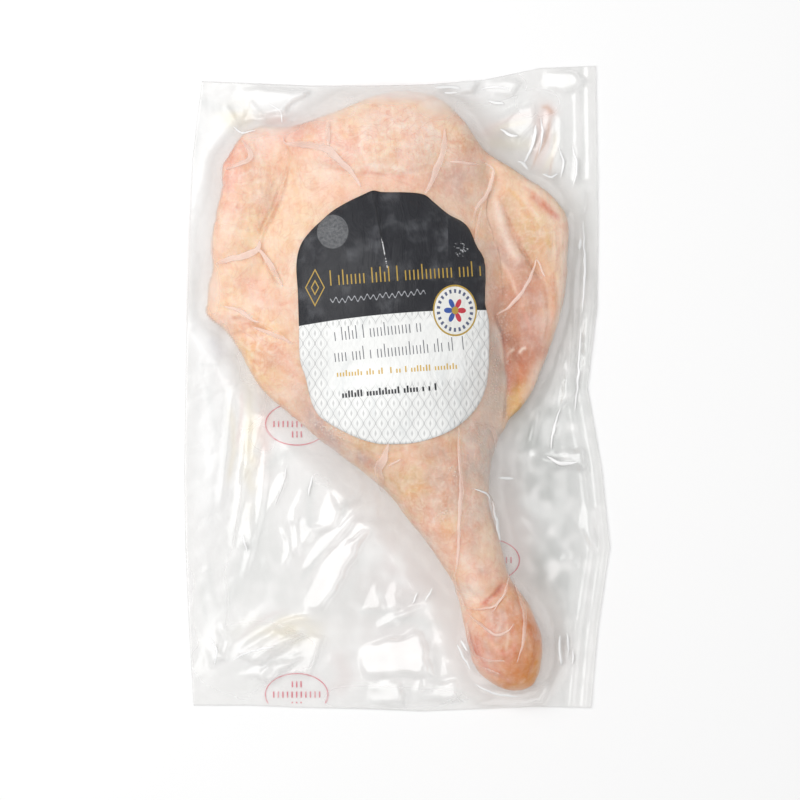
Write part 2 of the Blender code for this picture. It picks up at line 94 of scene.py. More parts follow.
# Patches of colour in the skin: (colour, strength, centre, half sizes, any turn in degrees).
SKIN_PATCHES = [
    ("peach", 0.5, (-64, 78), (14, 26), -6),
    ("pink", 0.9, (-69, 98), (6, 6), 30),
    ("rose", 0.9, (-68.5, 98), (4.5, 4.5), 30),
    ("red", 0.4, (-70, 98), (3, 3.5), 30),
    ("rose", 0.35, (-69, 88), (5, 8)),
    ("pink", 0.9, (-69, 88), (7, 11)),
    ("pale", 0.9, (-59, 106), (9, 5), 15),
    ("fat", 0.6, (-60, 67), (5, 10), -20),
    ("pale", 0.5, (-71, 67), (5, 6)),
    ("pink", 0.5, (-76, 56), (4, 6)),
    ("peach", 0.4, (-66, 51), (10, 9)),
    ("pale", 0.45, (-66, 42), (8, 6)),
    ("pink", 0.9, (-40, 106), (11, 5), 12),
    ("rose", 0.7, (-39, 109), (8, 3.5), 15),
    ("red", 0.35, (-38, 107), (7, 3), 15),
    ("pale", 0.5, (-57, 92), (7, 8)),
    ("orange", 0.35, (-46, 96), (5, 6)),
    ("pale", 0.6, (-35, 87), (10, 6)),
    ("pink", 0.4, (-27, 82), (10, 5)),
    ("fat", 0.65, (-47, 72), (11, 16), -10),
    ("pale", 0.5, (-43, 58), (9, 16)),
    ("pink", 0.45, (-14, 108), (14, 8), 10),
    ("rose", 0.55, (-20, 96), (9, 6), 10),
    ("rose", 0.3, (-2, 118), (6, 4)),
    ("peach", 0.4, (-10, 120), (22, 7), 10),
    ("pale", 0.5, (-10, 106), (26, 10)),
    ("pale", 0.5, (-5, 116), (8, 5)),
    ("peach", 0.5, (10, 118), (12, 8), -20),
    ("pale", 0.6, (15, 109), (8, 9)),
    ("orange", 0.3, (5, 112), (6, 4)),
    ("mauve", 0.3, (13, 99), (12, 12)),
    ("pink", 0.5, (5, 87), (14, 4)),
    ("mauve", 0.8, (29, 90), (9, 9)),
    ("frosted", 0.4, (33, 84), (5, 8)),
    ("tan", 0.5, (30, 103), (4, 4)),
    ("tan", 0.3, (24, 108), (6, 6), -30),
    ("rust", 0.45, (34, 99), (5, 3), -45),
    ("fat", 0.6, (54, 83), (9, 7), -40),
    ("pale", 0.4, (57, 84), (7, 5), -40),
    ("fat", 0.6, (57, 66), (8, 14)),
    ("tan", 0.5, (50, 62), (5, 10)),
    ("yellow", 0.35, (57, 68), (5, 8)),
    ("tan", 0.4, (45, 89), (5, 5)),
    ("mauve", 0.5, (45, 61), (5, 10), 10),
    ("peach", 0.4, (36, 70), (4, 6)),
    # The right flap darker and warmer: partly its own colour, partly painted shade on the side away from the
    # main lamp.
    ("clay", 1.0, (53, 32), (12, 24), 4),
    ("rose", 0.45, (52, 36), (9, 12)),
    ("rose", 0.4, (64, 38), (6, 20)),
    ("orange", 0.5, (47, 27), (4, 6)),
    ("yellow", 0.45, (49, 19), (3, 4)),
    ("red", 0.5, (57, 20), (5, 7)),
    ("rust", 0.9, (53, 12), (6, 13), 5),
    ("orange", 0.5, (54, 10), (7, 8)),
    ("rust", 0.6, (51, 17), (5, 6)),
    ("red", 0.6, (52, 8), (5, 8), 5),
    ("clay", 0.5, (51, 17), (6, 14), 5),
    ("clay", 0.35, (51, 40), (6, 12), 5),
    # Painted light on the right flap's rim, which turns away from the main lamp.
    ("pale", 0.6, (66, 20), (3, 12), 12),
    ("pale", 0.6, (61, 2), (3, 8), 20),
    ("ochre", 0.9, (53, -2), (6, 5)),
    ("ochre", 1.0, (49, -10), (5, 7), -20),
    ("fat", 0.9, (-64, 21), (7, 7), 30),
    ("pale", 0.4, (-65, 21), (5, 4), 30),
    ("fat", 0.6, (-70, 38), (6, 5)),
    ("yellow", 0.35, (-62, 14), (4, 7), 30),
    ("orange", 0.5, (-50, 17), (4, 6)),
    ("orange", 0.5, (-57, 17), (4, 5)),
    ("orange", 0.5, (-66, 28), (10, 2.5), -14),
    ("fat", 0.7, (-54, 25), (6, 4), -20),
    ("rust", 0.5, (-52, 9), (3, 3)),
    ("pink", 0.5, (-45, 8), (5, 14), 20),
    ("fat", 0.6, (-59, 8), (4, 10), 35),
    ("mauve", 0.45, (-38, -5), (5, 8), 30),
    ("tan", 0.4, (-40, -18), (6, 4), 40),
    ("mauve", 0.6, (-35, -14), (6, 5), 40),
    ("violet", 0.35, (43, -8), (4, 9)),
    ("pale", 0.5, (-41, -18), (4, 3), 40),
    ("mauve", 0.6, (-26, -25), (6, 5), 40),
    ("violet", 0.35, (-30, -20), (12, 4), -38),
    ("tan", 0.8, (-13, -27), (6, 6), 40),
    ("ochre", 0.35, (-14, -26), (4, 3), 40),
    ("orange", 0.3, (2, -29), (7, 5)),
    ("tan", 0.7, (3, -39), (8, 8)),
    ("yellow", 0.4, (7, -44), (4, 4)),
    ("mauve", 0.7, (19, -30), (7, 8)),
    ("red", 0.7, (15, -53), (1.8, 3), 20),
    ("orange", 0.5, (13, -58), (4, 3)),
    ("orange", 0.7, (21, -61), (4, 3)),
    ("mauve", 0.8, (21, -44), (5, 8)),
    ("frosted", 0.75, (34, -28), (7, 13)),
    ("mauve", 0.4, (34, -22), (7, 8)),
    ("violet", 0.5, (41, -28), (2, 10), 5),
    ("tan", 0.5, (33, -52), (8, 12)),
    ("mauve", 0.4, (29, -56), (5, 8)),
    ("mauve", 0.45, (20, -48), (14, 28)),
    ("tan", 0.25, (16, -44), (14, 24)),
    ("tan", 0.4, (4, -34), (9, 16), -30),
    ("violet", 0.3, (32, -56), (6, 24)),
    ("pink", 0.4, (24, -68), (6, 10), 20),
    ("orange", 0.35, (31, -80), (5, 4)),
    ("violet", 0.5, (36, -77), (3, 3)),
    ("pale", 0.6, (28, -74), (3, 6), 20),
    ("pale", 0.85, (31, -86), (5, 6), 10),
    ("orange", 0.6, (35, -96), (5, 3)),
    ("mauve", 0.9, (43, -96), (3.5, 4)),
    ("orange", 0.5, (45, -106), (12, 16), 12),
    ("rose", 0.9, (37, -108), (7, 9)),
    ("mauve", 0.6, (42, -97), (4, 6)),
    ("red", 0.35, (34, -108), (4, 5)),
    ("mauve", 0.5, (40, -108), (5, 5)),
    ("orange", 0.8, (51, -98), (5, 13), 5),
    ("orange", 0.8, (57, -104), (6, 10)),
    ("amber", 0.4, (57, -110), (6, 8)),
    ("amber", 0.75, (59, -114), (5, 10)),
    ("gold", 0.9, (57, -121), (5, 5)),
    ("orange", 0.7, (47, -121), (8, 6)),
    ("amber", 0.35, (49, -124), (7, 4)),
    ("amber", 0.4, (54, -120), (7, 8)),
    ("pale", 0.3, (56, -110), (2.5, 5)),
    ("fat", 0.4, (67, 40), (3.5, 24)),
    ("clay", 0.14, (53, 8), (8, 14)),
    ("pale", 0.25, (35, -26), (5, 6)),
    ("rose", 0.6, (38, -118), (5, 4), -40),
    ("gold", 0.9, (58, -120), (5, 7)),
    ("gold", 0.5, (52, -125), (8, 3)),
    ("mauve", 0.35, (18, -33), (7, 7)),
    ("clay", 0.22, (18, -33), (7, 7)),
    ("pale", 0.5, (36, -49), (5, 9)),
    ("pale", 0.4, (42, -60), (5, 10)),
    ("mauve", 0.65, (42, 77), (5, 12)),
    ("tan", 0.3, (42, 77), (5, 12)),
    ("mauve", 0.65, (48, 57), (5, 9)),
    ("clay", 0.1, (47, 66), (6, 14)),
    ("clay", 0.32, (46, -104), (7, 10)),
    ("clay", 0.3, (48, -89), (4, 6)),
    ("orange", 0.35, (53, -118), (3.5, 3.5)),
    ("pink", 0.6, (-24, 107), (6, 6)),
    ("pink", 0.6, (-65, 101), (6, 6)),
    ("pink", 0.45, (-60, 41), (6, 6)),
    ("pale", 0.55, (-57, 80), (9, 8)),
    ("mauve", 0.6, (54, 27), (6, 8)),
    ("mauve", 0.4, (60, 18), (4, 6)),
    ("pale", 0.35, (42, 24), (3, 9)),
    ("pale", 0.45, (57, 86), (7, 5), -35),
    ("pale", 0.4, (65, 77), (5, 5), -35),
    ("mauve", 0.5, (21, 89), (7, 5)),
    ("clay", 0.12, (21, 89), (7, 5)),
    ("pale", 0.3, (31, 107), (4, 6)),
    ("pale", 0.3, (36, 90), (4, 6)),
]

# Colour along a line in the skin: (colour, strength, reach to the line's left, to its right, line).
SKIN_STRIPS = [
    ("rust", 0.6, 0.8, 1.4, [(-46, 95), (-48, 84), (-53, 73), (-58, 64)]),
    ("rust", 0.5, 0.7, 0.7, [(-58, 63), (-55, 52), (-50, 43)]),
    ("rust", 0.6, 0.8, 1.0, [(-74, 30), (-66, 30), (-60, 27), (-54, 24)]),
    ("rust", 0.5, 0.6, 0.6, [(-72, 23), (-64, 25), (-58, 29)]),
    ("pale", 0.7, 0.8, 0.8, [(-73, 33), (-66, 32), (-60, 29)]),
    ("rose", 0.35, 0.8, 0.8, [(-72, 92), (-71, 80)]),
    ("rose", 0.5, 0.8, 0.8, [(-21, 85), (-13, 91.5), (-5, 90), (5, 89), (10, 87)]),
    ("pale", 0.8, 1.2, 1.2, [(-22, 89), (-14, 94.5), (-6, 93.5), (4, 92), (11, 90)]),
    ("pale", 0.6, 1.5, 1.5, [(-6, 112), (4, 111), (14, 110), (20, 107)]),
    ("rose", 0.4, 0.8, 0.8, [(-26, 104), (-18, 100), (-10, 102)]),
    ("red", 0.95, 1.1, 1.5, [(55, 83.5), (63, 77), (70, 71)]),
    ("rose", 0.5, 0.8, 0.8, [(52, 87), (60, 81), (67, 76)]),
    # Painted light: pale strips along the right flap's rim, which turns away from the main lamp.
    ("pale", 0.85, 2.5, 4.0, [(70, 78), (73, 66), (71, 46), (68, 26), (65, 14)]),
    ("pale", 0.85, 2.5, 3.0, [(66, 16), (60, 2), (54, -10)]),
    ("tan", 0.5, 3.5, 2.0, [(44, 84), (50, 70), (56, 58), (60, 48)]),
    ("mauve", 0.6, 3.5, 3.0, [(-42, -1), (-36, -12), (-26, -23), (-14, -30), (-7, -36)]),
    ("violet", 0.55, 3.0, 2.5, [(-40, -5), (-33, -16), (-24, -25), (-12, -31), (-4, -37)]),
    ("mauve", 0.6, 1.4, 1.4, [(40, -101), (37, -109), (41, -118)]),
    ("pink", 0.6, 0.9, 0.9, [(38, -104), (42, -110), (46, -112), (50, -108)]),
    ("amber", 0.5, 1.2, 1.2, [(47, -98), (50, -108), (51, -118)]),
    ("red", 0.35, 0.8, 0.8, [(41, -116), (45, -122), (50, -126)]),
    ("pale", 0.45, 0.7, 0.7, [(45, -93), (47, -103), (46, -112)]),
    ("red", 0.4, 0.8, 0.8, [(47, -96), (44, -106), (47, -117)]),
    ("pale", 0.5, 0.7, 0.7, [(43, -92), (44, -98), (41, -104)]),
    ("rust", 0.7, 0.7, 0.9, [(43, 81), (48, 70), (53, 60), (57, 53), (63, 45)]),
    ("mauve", 0.5, 0.5, 4.0, [(63, 45), (64, 31), (62, 19)]),
    ("rust", 0.45, 0.6, 0.6, [(62, 46), (63, 39), (64, 30), (63.4, 24), (62, 18)]),
    ("orange", 0.5, 1.3, 1.3, [(66, 48), (67.5, 37), (66, 27), (63.7, 17)]),
    ("rose", 0.4, 0.7, 0.7, [(70, 66), (66.5, 47), (65.5, 30), (63, 18)]),
    ("rose", 0.45, 0.8, 0.8, [(48, 50), (51, 40), (55, 30), (58, 20)]),
    ("pale", 0.5, 0.8, 0.8, [(44, 56), (48, 47), (52, 38)]),
    # Painted highlights: two small arcs of glint on the skin right of the label.
    ("pale", 0.8, 0.6, 0.6, [(46, 12), (47.5, 15.5), (50.5, 17)]),
    ("pale", 0.8, 0.6, 0.6, [(51.5, 14.5), (53, 17), (55, 18)]),
    ("red", 0.5, 0.8, 0.8, [(47, 4.5), (48, 0), (48.5, -4)]),
    ("yellow", 0.5, 1.0, 1.0, [(44, 88), (54, 78), (62, 68), (66, 56)]),
    ("pale", 0.5, 1.0, 1.0, [(50, 84), (59, 73), (64, 62)]),
    ("pale", 0.7, 1.8, 1.8, [(41, 84), (44, 71), (48, 60), (53, 52)]),
    ("frosted", 0.9, 0.4, 8.0, [(41, 32), (45, 23), (46, 12), (47, 5), (46, -17)]),
    ("red", 0.6, 2.2, 0.4, [(44, 25), (46, 12), (47, 5), (47, -5)]),
    # Painted light that lifts the shade where the skin dips beside the ledge.
    ("pale", 0.7, 0.8, 2.2, [(41, 29), (44.5, 19), (45, 10)]),
    ("rust", 0.4, 0.5, 0.6, [(41, 32), (45, 23), (46, 12), (47, 5), (46, -17)]),
    ("frosted", 0.6, 1.0, 9.0, [(44, -10), (43, -26), (40, -44)]),
    ("violet", 0.8, 1.0, 1.0, [(43, -18), (42, -28), (40, -40)]),
    ("red", 0.9, 1.3, 1.6, [(35, -92), (40, -88.5), (46, -82)]),
    ("rose", 0.6, 1.0, 1.0, [(36, -117), (40, -122)]),
    ("amber", 0.5, 1.5, 1.5, [(46, -103), (50, -110), (54, -121)]),
    ("amber", 0.7, 1.2, 1.2, [(53, -92), (57, -104), (58, -114), (54, -125)]),
    ("gold", 0.6, 1.4, 1.4, [(60, -106), (61, -116), (56, -126)]),
    ("rose", 0.6, 1.2, 1.2, [(47, -97), (50, -107), (46, -118)]),
    ("mauve", 0.7, 1.2, 1.2, [(44, -91), (44, -100), (41, -109)]),
    ("red", 0.5, 0.8, 0.8, [(33, -101), (34, -111), (39, -120)]),
]

# Where one layer of skin lies over the next: (drop to the line's right, how far it fades over, line).
SKIN_LEDGES = [
    (1.6, 6.0, [(-47, 105), (-46, 94), (-51, 80), (-59, 63)]),
    (1.2, 4.0, [(43, 82), (48, 70), (53, 60), (57, 53), (64, 44)]),
    (1.7, 7.0, [(45, -18), (47, 5), (46, 12), (45, 23), (40, 33)]),
    (1.0, 3.0, [(34, -93), (39, -89), (46, -82)]),
]

# Creases in the skin, or where the depth is negative a filled hollow: (depth, half width, line).
SKIN_LINES = [
    (-1.8, 3.2, [(-46, 102), (-46, 92), (-52, 76), (-59, 62), (-55, 51), (-49, 43)]),
    (-1.4, 3.0, [(-78, 34), (-66, 34), (-55, 28), (-45, 21)]),
    (-1.0, 4.5, [(-34, 94), (-20, 90), (0, 90), (14, 92), (21, 99)]),
    (-2.4, 3.4, [(39, 90), (37, 74), (43, 56), (44, 32)]),
    (0.9, 0.9, [(-47, 105), (-46, 94), (-51, 80), (-59, 64)]),
    (0.7, 0.9, [(-59, 64), (-57, 56), (-54, 48), (-49, 43)]),
    (0.5, 1.2, [(-78, 88), (-66, 84), (-56, 90)]),
    (0.5, 1.2, [(-80, 72), (-68, 70), (-60, 66)]),
    (0.6, 1.0, [(-78, 36), (-66, 33), (-52, 24), (-42, 20)]),
    (0.5, 1.3, [(-70, 24), (-56, 20), (-46, 10)]),
    (0.5, 1.2, [(-38, 96), (-20, 91), (0, 90), (16, 94)]),
    (0.4, 1.2, [(-24, 116), (-16, 104), (-14, 94)]),
    (0.7, 0.9, [(43, 82), (48, 70), (53, 60), (57, 53), (64, 44)]),
    (0.3, 0.9, [(41, 32), (45, 23), (46, 12), (47, 5), (46, -17)]),
    (0.4, 1.1, [(-24, -22), (-10, -28), (4, -26)]),
    (0.5, 1.2, [(28, -84), (38, -90), (50, -84)]),
    (0.4, 1.0, [(30, -94), (40, -99), (53, -94)]),
    (0.4, 0.9, [(34, -116), (38, -120), (44, -124)]),
]

# Blotches all over the skin: (colour, strength, size).
SKIN_MOTTLES = [
    ("fat", 0.65, 14.0),
    ("pink", 0.6, 10.3),
    ("pale", 0.6, 8.3),
    ("orange", 0.55, 6.7),
    ("pale", 0.4, 4.3),
    ("rose", 0.35, 3.1),
    ("pale", 0.4, 1.5),
]

# How strongly the skin is blotched, and where it is more or less so: (strength, centre, half sizes).
MOTTLE_CALM = 0.5
MOTTLE_PATCHES = [
    (0.75, (-58, 22), (16, 14)),
    (0.8, (0, 112), (36, 12)),
    (0.6, (-60, 92), (14, 20)),
    (0.8, (12, -54), (12, 12)),
    (0.3, (54, 22), (13, 38)),
    (0.2, (42, 2), (5, 30)),
    (0.4, (60, 74), (14, 14)),
    (0.5, (36, -106), (8, 12)),
    (0.25, (54, -114), (10, 16)),
]

# Where the skin is pebbled, with pale ridges between rosy hollows: (strength, centre, half sizes).
PEBBLED_PATCHES = [
    (1.0, (-8, 105), (28, 13)),
    (1.0, (-64, 84), (10, 22)),
    (1.0, (57, 68), (8, 15)),
    (1.0, (-60, 18), (13, 12)),
]

# Where a flap's rim is pushed out: (centre, half sizes, shift).
SKIN_PUSHES = [
    ((-78, 32), (5, 4.5), (-3.0, -1.0)),
    ((-55, 110), (9, 6), (-0.3, 2.8)),
    ((70, 70), (6, 9), (0.8, 0.4)),
    ((58, -112), (8, 14), (0.9, -0.6)),
]

# Where the skin is grainy with frost: (strength, centre, half sizes).
FROST_PATCHES = [
    (1.0, (42, 12), (5, 26)),
    (1.1, (-29, -20), (13, 8)),
    (1.2, (22, -35), (4, 6)),
    (1.3, (21, -54), (4, 3)),
    (0.5, (34, -24), (8, 10)),
    (0.4, (-44, -6), (8, 14)),
    (0.4, (4, 104), (30, 10)),
]

SKIN_SCATTER = (0.0030, 0.0014, 0.0009)  # how far red, green and blue light go under it, in metres
FOOT_LIFT = 0.45  # the leg's flat underside over the table, which leaves room for the back film
SKIN_SMOOTHINGS = 8  # how many times the leg's even mesh is smoothed before its relief is put on

# ---------------------------------------------------------------- the bag

# Where the bag's edges lie: in Y at even steps from left to right, or in X from its foot to its top.
BAG_TOP_EDGE = [131.5, 130.5, 129.5, 129.5, 130.0, 132.0, 137.0, 138.0]
BAG_FOOT_EDGE = [-135.5, -135.5, -136.5, -137.0, -138.0, -137.0, -136.0, -136.5]
BAG_LEFT_EDGE = [-87.0, -89.0, -90.5, -91.0, -90.5, -90.0, -89.0, -87.5, -83.5]
BAG_RIGHT_EDGE = [83.0, 86.0, 91.0, 87.5, 81.5, 85.5, 86.0, 85.5, 85.0]
BAG_SIZE = (174, 272)  # its width and length, which set how many points its upper film has

OVER_LEG = 0.5  # the film is over the leg where something higher than this is under it
SEAL_TOP = 0.7  # the upper film's height where it lies flat on the border
BACK_HEIGHT = 0.2  # the back film's height
FILM_PULL = 0.015  # how far below its neighbours' mean each point of the film is drawn
FILM_PULLS = 1200  # how many times the film is drawn down over the leg
FILM_SOFTENINGS = 9  # how many times it is smoothed after that
SEAMS = (3.4, 8.5)  # how far in from the bag's right edge its two seams run
SEAM_HEIGHT = 0.45
SEAM_HALF = 1.5  # half the width of a seam
GLARE_SLOPE = (0.19, -0.085)  # the slope of film that mirrors the main lamp to the camera
BACK_HAZE = 0.02  # the back film's haze
BACK_FREE = 0.3  # how freely the back film shines

# Folds of the slack film: (height, reach to the line's left, to its right, line).
FILM_FOLDS = [
    (0.8, 1.2, 2.4, [(61, 117), (60, 108), (57, 101)]),
    (0.9, 1.2, 2.4, [(66, 120), (64, 112), (60, 101), (57, 95)]),
    (0.7, 1.2, 2.2, [(70, 118), (70, 105), (66, 95)]),
    (0.7, 1.2, 2.4, [(54, 121), (44, 115), (38, 111)]),
    (0.6, 1.0, 2.0, [(46, 110), (50, 108), (52, 105)]),
    (0.6, 1.0, 2.0, [(50, 97), (54, 96), (55, 93)]),
    (0.6, 1.0, 2.0, [(62, 92), (66, 91), (68, 92)]),
    (0.8, 1.2, 2.4, [(78, 104), (77, 92), (74, 83)]),
    (0.8, 1.5, 2.4, [(76, 60), (75, 30), (72, 2), (69, -14)]),
    (0.6, 1.2, 2.0, [(71, 20), (69, 4), (66, -8)]),
    (0.9, 1.5, 2.4, [(61, -8), (59, -17), (57, -26)]),
    (0.9, 2.0, 3.0, [(57, -26), (60, -29), (66, -31), (78, -31)]),
    (0.5, 1.5, 2.0, [(71, -15), (68, -18), (70, -22)]),
    (0.6, 1.5, 3.0, [(51, -50), (58, -58), (72, -64)]),
    (0.6, 1.2, 2.0, [(70, -106), (70, -112), (72, -118)]),
    (0.6, 1.2, 2.0, [(73, -106), (73, -112), (74, -119)]),
    (0.8, 1.2, 2.2, [(26, -109), (29, -112), (32, -117)]),
    (0.9, 1.2, 2.4, [(13, -116), (12, -122), (12, -130)]),
    (0.8, 1.2, 2.2, [(-47, -36), (-50, -44), (-56, -54)]),
    (0.8, 1.2, 2.2, [(-44, -52), (-43, -62), (-42, -74)]),
    (0.7, 1.2, 2.0, [(-50, -58), (-46, -66), (-48, -78)]),
    (0.9, 2.0, 2.6, [(-56, -22), (-58, -50), (-66, -84)]),
    (0.8, 2.0, 2.6, [(-63, -8), (-66, -40), (-71, -70)]),
    (0.8, 2.0, 2.6, [(-70, 4), (-72, -20), (-76, -56)]),
    (0.8, 1.4, 2.2, [(-60, 8), (-56, -6), (-52, -16)]),
    (1.1, 2.5, 2.0, [(-30, -97), (-48, -100), (-68, -112)]),
    (0.9, 2.0, 1.6, [(-34, -104), (-50, -108), (-66, -120)]),
    (0.8, 2.0, 1.6, [(-40, -112), (-54, -118), (-62, -128)]),
    (0.7, 1.5, 1.5, [(-76, -100), (-72, -108), (-76, -118)]),
    (0.8, 1.4, 2.0, [(-64, 124), (-58, 117), (-52, 112)]),
    (0.7, 1.4, 2.0, [(-74, 122), (-70, 116), (-66, 108)]),
]

# Flat facets of the slack film, tilted so that they mirror the main lamp: (amount, corners).
FILM_FACETS = [
    (1.3, [(-23, -34), (-16, -37), (-15, -44), (-25, -50), (-29, -43)]),
    (1.3, [(-16, -42), (-9, -46), (-9, -54), (-15, -55)]),
    (1.0, [(-29, -43), (-24, -49), (-26, -57), (-32, -60), (-31, -51)]),
    (1.0, [(-10, -53), (-15, -63), (-22, -67), (-15, -58)]),
    (1.0, [(-15, -63), (-21, -74), (-26, -84), (-32, -93), (-37, -93), (-38, -88), (-28, -73), (-22, -67)]),
    (0.8, [(-37, -76), (-18, -54), (-34, -68), (-41, -77)]),
    (0.9, [(-42, -57), (-34, -60), (-40, -66), (-47, -72)]),
    (0.8, [(-42, -43), (-41, -45), (-45, -56), (-47, -55)]),
    (0.8, [(-52, -38), (-49, -38), (-53, -48), (-55, -47)]),
    (0.8, [(-63, -12), (-58, -14), (-61, -30), (-65, -36)]),
    (0.7, [(-66, -50), (-62, -50), (-63, -66), (-66, -66)]),
    (1.0, [(-11, -85), (-9, -85), (-7, -94), (-15, -94)]),
    (1.0, [(-3, -84), (-1, -84), (1, -93), (-6, -94)]),
    (0.9, [(-9, -101), (-1, -97), (4, -96), (-2, -100)]),
    (1.0, [(-16, -112), (2, -107), (10, -105), (13, -121), (-13, -122)]),
    (1.0, [(-12, -127), (1, -126), (2, -134), (-11, -134)]),
    (0.8, [(6, -127), (24, -126), (26, -132), (8, -132)]),
    (1.0, [(-42, -104), (-33, -107), (-38, -122), (-48, -122)]),
    (1.0, [(-69, -112), (-52, -104), (-44, -106), (-58, -117)]),
    (0.8, [(-68, -121), (-56, -119), (-42, -114), (-54, -124)]),
    (0.8, [(-81, -105), (-78, -104), (-75, -115), (-79, -117)]),
    (0.8, [(20, -117), (23, -117), (24, -122), (20, -123)]),
    (0.9, [(12, -114), (14, -113), (13, -128), (10, -129)]),
    (0.7, [(34, -124), (37, -124), (38, -127), (33, -127)]),
    (1.0, [(30, -128.5), (63, -127), (61, -133), (34, -133.5)]),
    (0.7, [(69, -110), (71, -110), (71, -117), (69, -117)]),
    (1.0, [(50, 118), (58, 121), (58, 113), (52, 106), (48, 110)]),
    (0.9, [(38, 131), (44, 133), (51, 130), (49, 126), (42, 127)]),
    (1.0, [(62, 134), (67, 136.5), (75, 135), (79, 131), (71, 127), (66, 129)]),
    (1.0, [(72, 86), (80, 87), (79, 76), (73, 75)]),
    (1.0, [(63, -28), (79, -27), (80, -33), (63, -33)]),
    (0.7, [(42, -35), (50, -35), (50, -37), (42, -38)]),
    (0.9, [(79, -50), (83, -52), (84, -66), (81, -62)]),
    (0.7, [(70, -68), (76, -70), (76, -74), (71, -73)]),
    (0.8, [(-70, 126), (-56, 128), (-40, 126), (-50, 118), (-64, 117)]),
    (0.8, [(12, 131), (34, 131), (32, 127), (16, 127)]),
    (0.7, [(80, 56), (84, 56), (85, 10), (81, 10)]),
    (0.7, [(72, 30), (75, 30), (75, -2), (72, -4)]),
]

# Where haze whitens the film most: partly milkiness, partly painted glare and light: (share, centre, half
# sizes).
FILM_VEILS = [
    (0.95, (-81, -24), (12, 50)),
    (0.95, (-83, 24), (11, 34)),
    (0.95, (-84, 70), (11, 50)),
    (0.95, (-78, 114), (18, 18)),
    (0.9, (-50, 120), (32, 13)),
    (0.9, (-10, 131), (42, 8)),
    (0.9, (24, 130), (26, 8)),
    (0.8, (-73, 8), (7, 10)),
    (0.7, (-65, -6), (7, 11)),
    (0.5, (-56, -20), (9, 9)),
    (0.3, (-30, -38), (16, 12)),
    (0.5, (-80, -92), (9, 26)),
    (0.55, (-60, -116), (30, 18)),
    (0.5, (-20, -132), (60, 6)),
    (0.35, (60, 122), (18, 12)),
    (0.85, (-72, 20), (6, 9)),
    (0.8, (-60, -5), (5, 8)),
]

# Where haze in the film veils the leg too: (share, centre, half sizes).
FILM_MISTS = [
    (0.5, (-64, 112), (15, 6)),
    (0.4, (-81, 70), (4, 40)),
    (0.4, (-36, 117), (24, 5)),
    (0.55, (-51, 113), (11, 6)),
    (0.7, (3, 125.5), (27, 5)),
    (0.6, (17, 121), (9, 7)),
    (0.4, (-78, 42), (4, 14)),
    (0.35, (-74, 20), (6, 12)),
    (0.35, (-42, -15), (10, 4)),
    (0.3, (-30, -26), (10, 4)),
    (0.25, (42, -20), (5, 26)),
]

# Painted glints: white ribbons laid where sharp folds of film catch the light: (half width, line).
FILM_GLINTS = [
    (0.55, [(40.4, -47.5), (41.8, -54), (44.0, -65)]),
    (0.35, [(32.6, -42.3), (36, -43.5), (38.4, -45.2), (39.8, -48.5)]),
    (0.5, [(69.6, -105), (69.2, -111), (70.2, -118)]),
    (0.45, [(72.6, -104), (73.2, -110), (73.0, -115)]),
    (0.4, [(75.2, -112), (75.0, -118)]),
    (0.5, [(25.6, -109), (28.0, -114), (31.4, -120)]),
    (0.4, [(27.0, -107), (30.0, -112)]),
    (0.4, [(33, -126), (42, -130), (52, -131)]),
    (0.3, [(6.5, -92), (9.0, -87)]),
    (0.3, [(12.0, -91), (15.0, -85)]),
    (0.6, [(78.2, 64), (78.0, 59)]),
    (0.4, [(79.5, 72), (80.2, 50), (79, 32)]),
    (0.4, [(78.5, 27), (77.5, 5), (76, -10)]),
    (0.4, [(70, -8), (67, -18), (66, -26)]),
    (0.7, [(64, -29), (70, -32), (77, -31.5)]),
    (0.5, [(43, -38), (50, -38.5)]),
    (0.6, [(59.5, 113), (58, 104), (54, 96)]),
    (0.4, [(61.5, 116), (62, 108), (60.5, 100)]),
    (0.6, [(44, 111), (48, 108.5), (52, 108)]),
    (0.6, [(51, 97), (54, 96), (56, 93)]),
    (0.6, [(62, 91.5), (66, 90.5), (69, 92)]),
    (0.4, [(75, 104), (77, 94), (75, 86)]),
    (0.4, [(69, 104), (71, 97), (70, 90)]),
    (0.4, [(36, 128), (42, 129), (48, 128)]),
    (0.7, [(16, 128.5), (22, 128.8), (27, 128)]),
    (0.4, [(20, 126), (26, 126.2)]),
    (0.5, [(39, 123), (46, 121.5)]),
    (0.35, [(-55, 122), (-50, 118), (-49, 113)]),
    (0.35, [(-70, 112), (-66, 109), (-60, 110)]),
    (0.35, [(-47, -33), (-49, -42), (-52, -50)]),
    (0.35, [(-36, -37), (-38, -46)]),
    (0.35, [(-66, -62), (-64, -70)]),
    (0.35, [(-80, -106), (-77, -112), (-78, -118)]),
    (0.35, [(-70, -116), (-62, -112), (-52, -110)]),
]

# Tints of the film: clear film, the greys and paler tints of painted shade, and the colours of juice in it.
FILM_CLEAR = (0.99, 0.988, 0.985, 1.0)
FILM_TINTS = {
    "shade": (0.925, 0.93, 0.925, 1.0),
    "dim": (0.885, 0.89, 0.885, 1.0),
    "grey": (0.885, 0.893, 0.885, 1.0),
    "dark": (0.795, 0.803, 0.798, 1.0),
    "darkest": (0.72, 0.73, 0.72, 1.0),
    "rosy": (0.95, 0.925, 0.92, 1.0),
    "rose": (0.93, 0.90, 0.895, 1.0),
    "lilac": (0.945, 0.94, 0.955, 1.0),
    "pink": (0.97, 0.905, 0.885, 1.0),
    "blood": (0.86, 0.70, 0.62, 1.0),
    "juice": (0.985, 0.955, 0.895, 1.0),
    "pink juice": seen(250, 222, 215),
    "yellow juice": seen(252, 243, 218),
}
